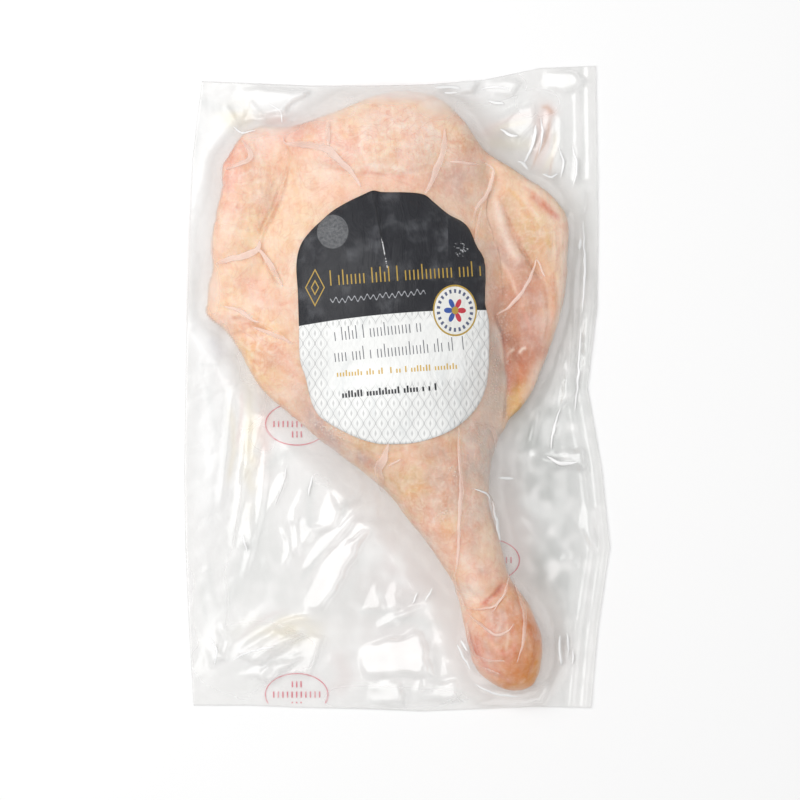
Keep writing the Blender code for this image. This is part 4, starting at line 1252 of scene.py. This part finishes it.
def pale_trellis(paper, x, y):
    """Wavy uprights that meet their neighbours, with a lozenge in each gap, faint round the printed rows."""
    column = (x / TRELLIS_PITCH).maths("ROUND")
    sway = (y * (2 * math.pi / TRELLIS_RISE) + column * math.pi).maths("SINE") * 0.44
    off_line = abs((x / TRELLIS_PITCH) - column - sway) * TRELLIS_PITCH
    climb = y - x * 0.09
    cleared = climb.softly(0.5, 3.0) * (29.0 - climb).softly(0.0, 2.0)
    cleared = cleared * x.softly(-31.0, -27.0) * (31.0 - x).softly(0.0, 4.0)
    shown = cleared * -0.85 + 1.0
    paper.tinted((off_line < 0.22) * shown * 0.85, seen(196, 197, 197))
    paper.tinted(off_line.between(0.62, 0.9) * shown * 0.6, seen(216, 217, 216))
    gap = (x / TRELLIS_PITCH).maths("FLOOR")
    leaf_y = abs((y / TRELLIS_RISE + gap * 0.5 + 0.75).maths("FRACT") - 0.5) * TRELLIS_RISE
    leaf_x = abs((x / TRELLIS_PITCH).maths("FRACT") - 0.5) * TRELLIS_PITCH
    paper.tinted((leaf_y / 1.5 + leaf_x / 0.5 < 1.0) * shown * 0.7, seen(196, 197, 197))


def charcoal_field(paper, x, y):
    """The dark print above a sagging line, with clouds of moisture and one round spot under the film."""
    right, meet = FIELD_RIGHT
    dark = y > ((right - x) / FIELD_WIDTH) ** 2.0 * -FIELD_SAG + meet
    paper.tinted(dark, seen(41, 42, 47))
    clouds = paper.noise(11.0, 4.0, 0.62).softly(0.48, 0.75) * 0.26
    bands = x.softly(12.0, 18.0) * (x < 21.5) * y.between(46.0, 74.0)
    bands = bands * paper.noise(6.0, 4.0).softly(0.45, 0.75) * 0.3
    paper.tinted(dark * (clouds + bands), seen(132, 134, 140))
    across, up = from_mark(x, y, WET_SPOT)
    spot = (1.0 - (across**2.0 + up**2.0)).softly(0.0, 0.1)
    mottled = paper.noise(1.3, 4.0, 0.7).softly(0.3, 0.7) * 0.3 + 0.2
    paper.tinted(spot * mottled * dark, seen(150, 152, 155))


def stroke_row(x, y, start, end, height, pitch, inked, seed):
    """A row of plain upright strokes in groups, from start to end, with an inked share of each pitch."""
    angle = math.atan2(end[1] - start[1], end[0] - start[0])
    c, s = math.cos(angle), math.sin(angle)
    along = (x - start[0]) * c + (y - start[1]) * s
    across = (y - start[1]) * c - (x - start[0]) * s
    draw = x.tree.nodes.new("ShaderNodeTexWhiteNoise")
    draw.noise_dimensions = "1D"
    x.tree.links.new(((along / pitch).maths("FLOOR") + seed).socket, draw.inputs["W"])
    chance = Field(x.tree, draw.outputs["Value"])
    tall = (chance > 0.72) * (height * 0.35) + height * 0.65
    part = (along / pitch).maths("FRACT")
    stroke = part.between(0.5 - inked / 2, 0.5 + inked / 2) * (chance > 0.16)
    return stroke * (across > 0.0) * (across < tall) * along.between(0.0, math.dist(start, end))


def printed_seal(paper, x, y):
    """A round seal with a gold rim, a ring of dashes and a six-petalled flower."""
    radius = (x**2.0 + y**2.0).maths("SQRT")
    angle = y.maths("ARCTAN2", x) / (2 * math.pi)
    paper.tinted(radius < 1.0, seen(238, 238, 234))
    paper.tinted(radius.between(0.93, 1.0), INKS["gold"])
    dash = (angle * 22.0).maths("FRACT").between(0.25, 0.72)
    paper.tinted(radius.between(0.68, 0.83) * dash, seen(92, 100, 128))
    flower = radius < abs((angle * (6 * math.pi)).maths("COSINE")) * 0.38 + 0.12
    paper.tinted(flower * (x < 0.0), seen(62, 92, 168))
    paper.tinted(flower * (x > 0.0), seen(198, 62, 76))
    paper.tinted(radius < 0.15, INKS["gold"])


def pale_table(settings):
    """A plain pale table top."""
    table = Finish("pale_table", (*settings.table_colour, 1.0), 0.6)
    table.tinted(table.noise(60.0, 2.0) * 0.02, (0.8, 0.8, 0.8, 1.0))
    table.shader.inputs["Specular IOR Level"].default_value = 0.1
    return table.material


# ---------------------------------------------------------------- forms of the skin


def skin_pebbles(places):
    """Ridges in the skin, highest at 1, and how pebbled the skin is at each place."""
    ridges = 1 - np.abs(noise_at(places * np.array([0.7, 1.0, 1.0]), 4.2, 22.0))
    return ridges, covered(places[:, :2], PEBBLED_PATCHES)


def skin_tints(places):
    """The skin's colour at each place: cream, with its patches and strips laid over one another."""
    colours = np.tile(SKIN["cream"], (len(places), 1))
    sway = sway_at(places, 9.0, 1.0)
    at = places[:, :2] + 3.0 * sway
    for name, strength, *oval in SKIN_PATCHES:
        colours = laid(colours, strength * oval_share(at, *oval), SKIN[name])
    ridges, pebbled = skin_pebbles(places)
    colours = laid(colours, pebbled * 0.55 * ramp(ridges, 0.84, 1.0), SKIN["pale"])
    colours = laid(colours, pebbled * 0.3 * ramp(-ridges, -0.7, -0.4), SKIN["rose"])
    at = places[:, :2] + 0.6 * sway
    for name, strength, left, right, line in SKIN_STRIPS:
        colours = laid(colours, strength * brushed(at, line, 0.2, left, right), SKIN[name])
    return colours


def skin_relief(places):
    """How far the skin stands off the plain form: soft lumps, wrinkles on the flaps and creases."""
    relief = 0.6 * noise_at(places, 13.0, 3.0) + 0.25 * noise_at(places, 5.0, 4.0)
    wrinkled = 1 - np.abs(noise_at(places * np.array([1.0, 0.3, 1.0]), 3.4, 5.0))
    flap = ramp(-places[:, 0], 40.0, 56.0) * ramp(places[:, 1], 20.0, 40.0)
    flap = np.maximum(flap, 0.7 * ramp(places[:, 0], 48.0, 54.0))
    relief += (0.08 + 0.28 * flap) * (wrinkled**3 - 0.4)
    ridges, pebbled = skin_pebbles(places)
    relief += 0.3 * pebbled * (ridges**4 - 0.4)
    at = places[:, :2] + 0.5 * sway_at(places, 7.0, 6.0)
    for depth, half_width, line in SKIN_LINES:
        relief -= depth * brushed(at, line, 0.15, half_width)
    for drop, reach, line in SKIN_LEDGES:
        gap, along, side = distance_to_line(at, smooth_line(line, LINE_STEP))
        beyond = -gap * side
        step = ramp(beyond, -0.5, 0.7) * np.exp(-np.maximum(beyond, 0) / reach)
        relief -= drop * end_fade(along, 0.15) * step
    return relief


def skin_mottle(places):
    """How strongly the skin is blotched at each place."""
    mottle = np.full(len(places), MOTTLE_CALM)
    for strength, centre, half in MOTTLE_PATCHES:
        mottle += oval_share(places[:, :2], centre, half) * (strength - mottle)
    return mottle


def skin_frost(places):
    """How grainy with frost the skin is at each place."""
    return covered(places[:, :2], FROST_PATCHES) * ramp(noise_at(places, 5.0, 15.0), -0.5, 0.4)


# ---------------------------------------------------------------- forms of the film


def edge_at(steps, share):
    """Where an edge lies at a share of its length, between evenly spaced steps."""
    return np.interp(share, np.linspace(0, 1, len(steps)), steps)


def bag_places(shares):
    """Where shares of the bag's width and length lie, and how far in from its nearest and its right edge."""
    across, up = shares.T
    left, right = edge_at(BAG_LEFT_EDGE, up), edge_at(BAG_RIGHT_EDGE, up)
    foot, top = edge_at(BAG_FOOT_EDGE, across), edge_at(BAG_TOP_EDGE, across)
    x, y = left + (right - left) * across, foot + (top - foot) * up
    inwards = np.minimum.reduce([x - left, right - x, y - foot, top - y])
    return np.column_stack([x, y]), inwards, right - x


def beside(grid):
    """The mean of the four neighbours of each point that isn't on the grid's rim."""
    return (grid[:-2, 1:-1] + grid[2:, 1:-1] + grid[1:-1, :-2] + grid[1:-1, 2:]) / 4


def relaxed(floor, pull, steps):
    """A film drawn tight over a floor of heights: each point is the mean of its neighbours, less the pull."""
    film = floor.copy()
    for _ in range(steps):
        film[1:-1, 1:-1] = np.maximum(floor[1:-1, 1:-1], beside(film) - pull)
    return film


def grown(heights):
    """Each point takes the height of its tallest neighbour."""
    padded = np.pad(heights, 1, mode="edge")
    rows, columns = heights.shape
    around = [padded[i:i + rows, j:j + columns] for i in range(3) for j in range(3)]
    return np.max(around, axis=0)


def softened(heights, steps):
    """Each point moves half way to the mean of its neighbours, some times over."""
    for _ in range(steps):
        heights[1:-1, 1:-1] = (heights[1:-1, 1:-1] + beside(heights)) / 2
    return heights


def unsorted(grid, order):
    """The grid's values in the order that its points were sorted from."""
    values = np.empty(grid.size)
    values[order] = grid.ravel()
    return values


def fold_heights(places, folds):
    """The height of the tallest fold at each place."""
    height = np.zeros(len(places))
    for tall, left, right, line in folds:
        gap, share, side = distance_to_line(places, smooth_line(line, FOLD_STEP))
        reach = np.where(side > 0, left, right)
        ends = ramp(share, 0.0, 0.2) * (1 - ramp(share, 0.75, 1.0))
        height = np.maximum(height, tall * ends * np.clip(1 - gap / reach, 0, 1) ** 1.15)
    return height


def facet_rise(places, corners, fray):
    """The height of a flat facet that mirrors the main lamp. Its soft border frays in and out."""
    corners = np.array(corners, float)
    middle = corners.mean(0)
    inward = np.full(len(places), np.inf)
    for a, b in zip(corners, np.roll(corners, -1, 0)):
        aside = np.array([a[1] - b[1], b[0] - a[0]]) / np.linalg.norm(b - a)
        aside *= np.sign((middle - a) @ aside)
        inward = np.minimum(inward, (places - a) @ aside)
    tilt = (places - corners[np.argmin(corners @ GLARE_SLOPE)]) @ GLARE_SLOPE
    return np.maximum(tilt, 0) * ramp(inward + fray, -2.4, 0.6)


def slack_rise(flat, inwards, from_right, over_leg, off_leg):
    """How far the film stands up: crumples, folds, facets, pleats and seams, and waves along its rim."""
    sealed, inside = ramp(inwards, 1.0, 12.0), ramp(inwards, 0.0, 3.0)
    broad, fine = facets(flat, BROAD_FACETS, 7), facets(flat, FINE_FACETS, 31)
    rise = off_leg * sealed * covered(flat, FILM_CRUMPLES) * (broad * 0.3 + fine * 0.8)
    rise += off_leg * inside * fold_heights(flat, FILM_FOLDS)
    fray = 1.1 * noise_at(flat, 4.5, 19.0)
    for much, corners in FILM_FACETS:
        rise += off_leg * inside * much * facet_rise(flat, corners, fray)
    rise += inside * fold_heights(flat, PLEAT_RIDGES)
    rise += over_leg * 0.15 * np.abs(noise_at(flat, 5.0, 9.0))
    for seam in SEAMS:
        rise += SEAM_HEIGHT * np.clip(1 - np.abs(from_right - seam) / SEAM_HALF, 0, 1)
    return rise + 0.5 * (1 - sealed) * np.abs(noise_at(flat, 14.0, 10.0))


def film_haze(places, free, steep):
    """How milky the film is, its veils also painting in glare. Clearest where it clings to the leg or is
    steep, and over the stamps.
    """
    at = places[:, :2]
    haze = 0.03 + 0.09 * ramp(noise_at(places, 16.0, 11.0), -0.2, 0.7)
    patchy = 0.95 + 0.05 * noise_at(places, 4.0, 21.0)
    haze = np.maximum(haze, patchy * covered(at, FILM_VEILS))
    haze *= (1 - 0.22 * steep) * (0.1 + 0.9 * ramp(free, 0.1, 0.5))
    haze = np.maximum(haze, covered(at, FILM_MISTS))
    for centre in STAMPS:
        haze *= 1 - 0.8 * oval_share(at, centre, STAMP_HALF)
    return haze


def film_tints(places, free):
    """The film's tint: clear, with juice, and painted shade in patches, along its folds and in streaks down
    the right.
    """
    at = places[:, :2]
    tints = np.tile(FILM_CLEAR, (len(places), 1))
    patchy = ramp(noise_at(places, 6.0, 12.0), -0.7, 0.3) * (0.15 + 0.85 * free)
    for name, strength, centre, half in FILM_SHADE_AND_JUICE:
        tints = laid(tints, strength * patchy * oval_share(at, centre, half) ** 1.25, FILM_TINTS[name])
    at = at + 0.8 * sway_at(places, 8.0, 16.0)
    for name, strength, half_width, line in FILM_SHADES:
        tints = laid(tints, strength * free * brushed(at, line, 0.25, half_width), FILM_TINTS[name])
    # Painted shade in streaks down the right side.
    streaks = ramp(noise_at(places * np.array([1.0, 0.12, 1.0]), 3.2, 18.0), -0.1, 0.6)
    streaks *= free * ramp(places[:, 0], 58.0, 72.0)
    return laid(tints, 0.8 * streaks, FILM_TINTS["shade"])


# ---------------------------------------------------------------- settings


class DuckLegSettings(bpy.types.PropertyGroup):
    """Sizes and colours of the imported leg's looks."""

    skin_cell: FloatProperty(
        name="Skin detail", description="Distance between the skin's points",
        default=0.00072, min=0.0005, unit="LENGTH")
    film_cell: FloatProperty(
        name="Film detail", description="Distance between the upper film's points",
        default=0.0008, min=0.0005, unit="LENGTH")
    film_gap: FloatProperty(
        name="Film gap", description="Gap between the film and what it is drawn on to",
        default=0.00035, min=0.0001, unit="LENGTH")
    film_gloss: FloatProperty(
        name="Film gloss", description="Share of the light that the film mirrors when seen straight on",
        default=0.07, min=0.0, max=1.0, subtype="FACTOR")
    film_ripple: FloatProperty(
        name="Film ripple", description="Height of the film's faint ripples",
        default=0.00045, min=0.0, unit="LENGTH")
    translucency: FloatProperty(
        name="Skin depth", description="How much light scatters under the skin",
        default=0.25, min=0.0, max=1.0, subtype="FACTOR")
    pleat_milk: FloatProperty(
        name="Pleat whiteness", description="How milky a fold of doubled film looks",
        default=0.38, min=0.0, max=1.0, subtype="FACTOR")
    stamp_colour: FloatVectorProperty(
        name="Stamp ink", description="Colour of the oval stamps", subtype="COLOR",
        default=seen(226, 112, 128)[:3], min=0.0, max=1.0)
    table_colour: FloatVectorProperty(
        name="Table", description="Colour of the table top", subtype="COLOR",
        default=(0.95, 0.95, 0.95), min=0.0, max=1.0)
    lamp_power: FloatProperty(
        name="Main lamp", description="Power of the large lamp on the left", default=11.2, unit="POWER")
    room_light: FloatProperty(
        name="Room light", description="Strength of the even light from all around", default=0.5, min=0.0)


# ---------------------------------------------------------------- pieces


class DUCKLEG_OT_skin(bpy.types.Operator):
    """Build the leg's skin over the leg's solid"""

    bl_idname = "duckleg.skin"
    bl_label = "Leg Skin"

    def execute(self, context):
        settings = context.scene.duck_leg
        rough = object_from(merged_copy("duck_leg"), "skin_form")
        remesh = rough.modifiers.new("even_mesh", "REMESH")
        remesh.mode = "VOXEL"
        remesh.voxel_size = settings.skin_cell
        bm = applied(rough)
        for _ in range(SKIN_SMOOTHINGS):
            bmesh.ops.smooth_vert(bm, verts=bm.verts, factor=0.5, use_axis_x=True, use_axis_y=True,
                                  use_axis_z=True)
        bm.normal_update()
        places = places_of(bm.verts)
        normals = np.array([v.normal for v in bm.verts])
        # The relief fades out towards the flat underside.
        upper = ramp(places[:, 2], 1.5, 6.0)
        places += normals * (skin_relief(places) * upper)[:, None]
        for centre, half, shift in SKIN_PUSHES:
            places[:, :2] += oval_share(places[:, :2], centre, half)[:, None] * np.array(shift)
        places[:, 2] = np.maximum(places[:, 2], FOOT_LIFT)
        move_to(bm, places)
        flat = [f for f in bm.faces if max(v.co.z for v in f.verts) < (FOOT_LIFT + 1e-4) * MM]
        bmesh.ops.dissolve_faces(bm, faces=flat, use_verts=False)
        places = places_of(bm.verts)
        skin = object_from(bm, "leg_skin", raw_skin(settings))
        paint(skin, "tint", skin_tints(places))
        paint(skin, "frost", skin_frost(places))
        paint(skin, "mottle", skin_mottle(places))
        settled(skin, "raw_skin", "duck_leg")
        return {"FINISHED"}


class DUCKLEG_OT_label(bpy.types.Operator):
    """Lay the printed label on the thigh"""

    bl_idname = "duckleg.label"
    bl_label = "Paper Label"

    def execute(self, context):
        edge = smooth_loop(LABEL_EDGE, per_span=6)
        bm = bmesh.new()
        bmesh.ops.create_grid(bm, x_segments=len(edge), y_segments=LABEL_RINGS, size=0.5)
        grid = np.array([v.co for v in bm.verts])
        spoke = np.round((grid[:, 0] + 0.5) * len(edge)).astype(int) % len(edge)
        out = edge[spoke] - LABEL_CENTRE
        flat = LABEL_CENTRE + out * (grid[:, 1:2] + 0.5)
        # The upper part of its right edge is a little ragged.
        ragged = ramp(flat[:, 0], 30.0, 38.0) * ramp(flat[:, 1], 30.0, 40.0)
        ragged *= 1 - ramp(flat[:, 1], 60.0, 66.0)
        flat[:, 0] -= 0.5 * ragged * np.abs(noise_at(flat, 1.8, 6.0))
        trees = surface_of("leg_skin")
        around = [flat + np.array(step) for step in LABEL_STEPS]
        high = np.max([height_over(each, trees) for each in around], axis=0) + LABEL_GAP
        gap, share, _ = distance_to_line(flat, smooth_line(LABEL_CREASE, LINE_STEP))
        high += CREASE_HEIGHT * np.clip(1 - gap / CREASE_HALF, 0, 1) * (1 - ramp(share, 0.7, 1.0))
        move_to(bm, np.column_stack([flat, high]))
        # The rings close, and all the spokes meet at the centre.
        bmesh.ops.remove_doubles(bm, verts=bm.verts, dist=2e-5)
        bmesh.ops.recalc_face_normals(bm, faces=bm.faces)
        if sum(f.normal.z for f in bm.faces) < 0:
            bmesh.ops.reverse_faces(bm, faces=bm.faces)
        bmesh.ops.solidify(bm, geom=bm.faces, thickness=-LABEL_THICK * MM)
        bmesh.ops.recalc_face_normals(bm, faces=bm.faces)
        label = object_from(bm, "label_sheet", label_print(context.scene.duck_leg))
        settled(label, "label_paper", "paper_label")
        return {"FINISHED"}


class DUCKLEG_OT_film(bpy.types.Operator):
    """Draw the bag's two films over and under the leg"""

    bl_idname = "duckleg.film"
    bl_label = "Clear Film Bag"

    def execute(self, context):
        settings = context.scene.duck_leg
        cell = settings.film_cell / MM
        columns, rows = (round(side / cell) for side in BAG_SIZE)
        bm = bmesh.new()
        bmesh.ops.create_grid(bm, x_segments=columns, y_segments=rows, size=0.5)
        shares = np.array([v.co for v in bm.verts])[:, :2] + 0.5
        flat, inwards, from_right = bag_places(shares)
        # Heights are drawn down on a grid of rows, foot to top. The points are sorted into it and back.
        order = np.lexsort((shares[:, 0].round(5), shares[:, 1].round(5)))
        in_rows = (rows + 1, columns + 1)
        high = height_over(flat, surface_of("leg_skin", "label_sheet"))
        over_leg = high > OVER_LEG
        floor = np.where(over_leg, high + settings.film_gap / MM, SEAL_TOP)
        drawn = relaxed(grown(floor[order].reshape(in_rows)), FILM_PULL, FILM_PULLS)
        drawn = softened(drawn, FILM_SOFTENINGS)
        rest = unsorted(drawn, order)
        steep = unsorted(ramp(np.hypot(*np.gradient(drawn, cell)), 0.3, 1.0), order)
        # Over the leg, the film is free where it hangs clear of the skin.
        free = ramp(rest - np.where(over_leg, high, 0.0), 0.8, 3.0) * over_leg
        off_leg = np.maximum(~over_leg * 1.0, free)
        rise = slack_rise(flat, inwards, from_right, over_leg, off_leg)
        move_to(bm, np.column_stack([flat, rest + rise]))
        self.close_back(bm)
        film = object_from(bm, "film_bag_clear", clear_film(settings))
        places = places_of(film.data.vertices)
        back = len(places) - len(flat)
        off_look = np.where(over_leg, 0.3 * free, 1.0)
        open_share = unsorted(softened(off_look[order].reshape(in_rows), 3), order)
        free = np.append(open_share, np.full(back, BACK_FREE))
        haze = film_haze(places, free, np.append(steep, np.zeros(back)))
        tints = film_tints(places, free)
        haze[-back:], tints[-back:] = BACK_HAZE, FILM_CLEAR
        paint(film, "free_film", free)
        paint(film, "haze", haze)
        paint(film, "film_tint", tints)
        settled(film, "clear_film", "film_bag")
        return {"FINISHED"}

    def close_back(self, bm):
        """Turns the upper film's rim down and closes the bag with its flat back film."""
        rim = [e for e in bm.edges if e.is_boundary]
        made = bmesh.ops.extrude_edge_only(bm, edges=rim)["geom"]
        low_rim = [g for g in made if isinstance(g, bmesh.types.BMEdge) and g.is_boundary]
        for vert in {v for e in low_rim for v in e.verts}:
            vert.co.z = BACK_HEIGHT * MM
        bmesh.ops.contextual_create(bm, geom=low_rim)
        for edge in low_rim:
            edge.smooth = False
        bmesh.ops.recalc_face_normals(bm, faces=bm.faces)


class DUCKLEG_OT_pleats(bpy.types.Operator):
    """Lay the narrow pleats of doubled film over the leg, and the painted glints of sharp folds"""

    bl_idname = "duckleg.pleats"
    bl_label = "Film Pleats"

    def execute(self, context):
        trees = surface_of("film_bag_clear")
        bm = bmesh.new()
        for half_width, line in FILM_PLEATS:
            self.pleat(bm, smooth_line(line, PLEAT_STEP), half_width, trees)
        pleated = len(bm.verts)
        for half_width, line in FILM_GLINTS:
            self.pleat(bm, smooth_line(line, GLINT_STEP), half_width, trees)
        bmesh.ops.recalc_face_normals(bm, faces=bm.faces)
        # The glint ribbons are marked for the material, which paints them white as highlights.
        painted_glint = np.arange(len(bm.verts)) >= pleated
        pleats = object_from(bm, "film_pleats", folded_film(context.scene.duck_leg))
        paint(pleats, "painted_glint", painted_glint)
        settled(pleats, "clear_film")
        return {"FINISHED"}

    def pleat(self, bm, centre, half_width, trees):
        """A flat ribbon with a low rounded top that narrows to a point at both ends."""
        along = np.gradient(centre, axis=0)
        aside = np.column_stack([-along[:, 1], along[:, 0]])
        aside /= np.linalg.norm(aside, axis=1, keepdims=True)
        share = np.linspace(0, 1, len(centre))
        taper = np.sin(np.pi * share) ** 0.6 * 0.95 + 0.05
        centre = centre + aside * (0.5 * taper * noise_at(centre, 4.0, 13.0))[:, None]
        wide = 1.15 * half_width * taper * (1 + 0.45 * noise_at(centre, 6.0, 14.0))
        turns = 2 * math.pi * np.arange(PLEAT_SIDES) / PLEAT_SIDES
        flat = centre[:, None] + aside[:, None] * (wide[:, None] * np.cos(turns))[:, :, None]
        under = height_over(flat.reshape(-1, 2), trees).reshape(len(centre), PLEAT_SIDES)
        lift = PLEAT_LIFT + PLEAT_HEIGHT * taper[:, None] * (1 + np.sin(turns)) / 2
        ring_before = None
        for places, heights in zip(flat, under + lift):
            verts = bmesh.ops.create_circle(bm, segments=PLEAT_SIDES, radius=1.0)["verts"]
            for vert, (x, y), z in zip(verts, places, heights):
                vert.co = Vector((x, y, z)) * MM
            ring = list({e for v in verts for e in v.link_edges})
            if ring_before:
                bmesh.ops.bridge_loops(bm, edges=ring_before + ring)
            else:
                bmesh.ops.contextual_create(bm, geom=ring)
            ring_before = ring
        bmesh.ops.contextual_create(bm, geom=ring_before)


class DUCKLEG_OT_stamps(bpy.types.Operator):
    """Print the red oval stamps on the back film"""

    bl_idname = "duckleg.stamps"
    bl_label = "Oval Stamps"

    def execute(self, context):
        bm = bmesh.new()
        for x, y in STAMPS:
            self.oval(bm, x, y)
            for up, half, count in STAMP_ROWS:
                self.dashes(bm, x, y + up, half, count)
        bmesh.ops.bisect_plane(bm, geom=bm.faces[:] + bm.edges[:] + bm.verts[:],
                               plane_co=(0, STAMP_CUT, 0), plane_no=(0, -1, 0), clear_outer=True)
        bmesh.ops.scale(bm, verts=bm.verts, vec=(MM, MM, MM))
        ink = object_from(bm, "stamp_marks", stamp_ink(context.scene.duck_leg))
        settled(ink, "clear_film")
        return {"FINISHED"}

    def oval(self, bm, x, y):
        """An oval line round a place."""
        ring = bmesh.ops.create_circle(bm, segments=72, radius=1.0)["verts"]
        edges = list({e for v in ring for e in v.link_edges})
        made = bmesh.ops.extrude_edge_only(bm, edges=edges)["geom"]
        inner = [g for g in made if isinstance(g, bmesh.types.BMVert)]
        for verts, inset in ((ring, 0.0), (inner, STAMP_LINE)):
            wide, high = (half - inset for half in STAMP_HALF)
            for vert in verts:
                vert.co = (x + wide * vert.co.x, y + high * vert.co.y, STAMP_HEIGHT)

    def dashes(self, bm, x, y, half, count):
        """A row of upright dashes over half a width to either side of a place."""
        wide, high = STAMP_DASH
        for k in range(count):
            middle = x + half * (2 * (k + 0.5) / count - 1)
            for vert in bmesh.ops.create_grid(bm, x_segments=1, y_segments=1, size=0.5)["verts"]:
                vert.co = (middle + wide * vert.co.x, y + high * vert.co.y, STAMP_HEIGHT)


class DUCKLEG_OT_stage(bpy.types.Operator):
    """Set the table, the lamps and the camera that looks straight down"""

    bl_idname = "duckleg.stage"
    bl_label = "Table, Lamps and Camera"

    def execute(self, context):
        settings = context.scene.duck_leg
        bm = bmesh.new()
        bmesh.ops.create_grid(bm, x_segments=1, y_segments=1, size=TABLE_HALF)
        table = object_from(bm, "table", pale_table(settings))
        for name, place, size, share in LAMPS:
            self.lamp(name, place, size, settings.lamp_power * share)
        world = bpy.data.worlds.new("soft_room")
        world.use_nodes = True
        world.node_tree.nodes["Background"].inputs["Color"].default_value = (1, 1, 1, 1)
        world.node_tree.nodes["Background"].inputs["Strength"].default_value = settings.room_light
        context.scene.world = world
        camera = bpy.data.cameras.new("overhead_camera")
        camera.sensor_width = 36.0
        camera.lens = camera.sensor_width * CAMERA_HEIGHT / (PHOTO_FIELD * MM)
        seat = bpy.data.objects.new("overhead_camera", camera)
        seat.location = (PHOTO_CENTRE[0] * MM, PHOTO_CENTRE[1] * MM, CAMERA_HEIGHT + CAMERA_PLANE)
        context.scene.collection.objects.link(seat)
        context.scene.camera = seat
        context.scene.view_settings.view_transform = "Standard"
        return {"FINISHED"}

    def lamp(self, name, place, size, power):
        """A square lamp that faces the middle of the table."""
        light = bpy.data.lights.new(name, "AREA")
        light.size = size
        light.energy = power
        obj = bpy.data.objects.new(name, light)
        obj.location = place
        obj.rotation_euler = Vector(place).to_track_quat("Z", "Y").to_euler()
        bpy.context.scene.collection.objects.link(obj)


# ---------------------------------------------------------------- panel and registration


class DUCKLEG_PT_pieces(bpy.types.Panel):
    """The pack's pieces and their sizes"""

    bl_idname = "DUCKLEG_PT_pieces"
    bl_label = "Packed Duck Leg"
    bl_space_type = "VIEW_3D"
    bl_region_type = "UI"
    bl_category = "Duck Leg"

    def draw(self, context):
        settings = context.scene.duck_leg
        for name in DuckLegSettings.__annotations__:
            self.layout.prop(settings, name)
        for operator in OPERATORS:
            self.layout.operator(operator.bl_idname)


OPERATORS = (
    DUCKLEG_OT_skin,
    DUCKLEG_OT_label,
    DUCKLEG_OT_film,
    DUCKLEG_OT_pleats,
    DUCKLEG_OT_stamps,
    DUCKLEG_OT_stage,
)
CLASSES = (DuckLegSettings, *OPERATORS, DUCKLEG_PT_pieces)


def register():
    for each in CLASSES:
        bpy.utils.register_class(each)
    bpy.types.Scene.duck_leg = PointerProperty(type=DuckLegSettings)


def unregister():
    del bpy.types.Scene.duck_leg
    for each in reversed(CLASSES):
        bpy.utils.unregister_class(each)


def main():
    register()
    bpy.ops.duckleg.skin()
    bpy.ops.duckleg.label()
    bpy.ops.duckleg.film()
    bpy.ops.duckleg.pleats()
    bpy.ops.duckleg.stamps()
    bpy.ops.duckleg.stage()


if __name__ == "__main__":
    main()
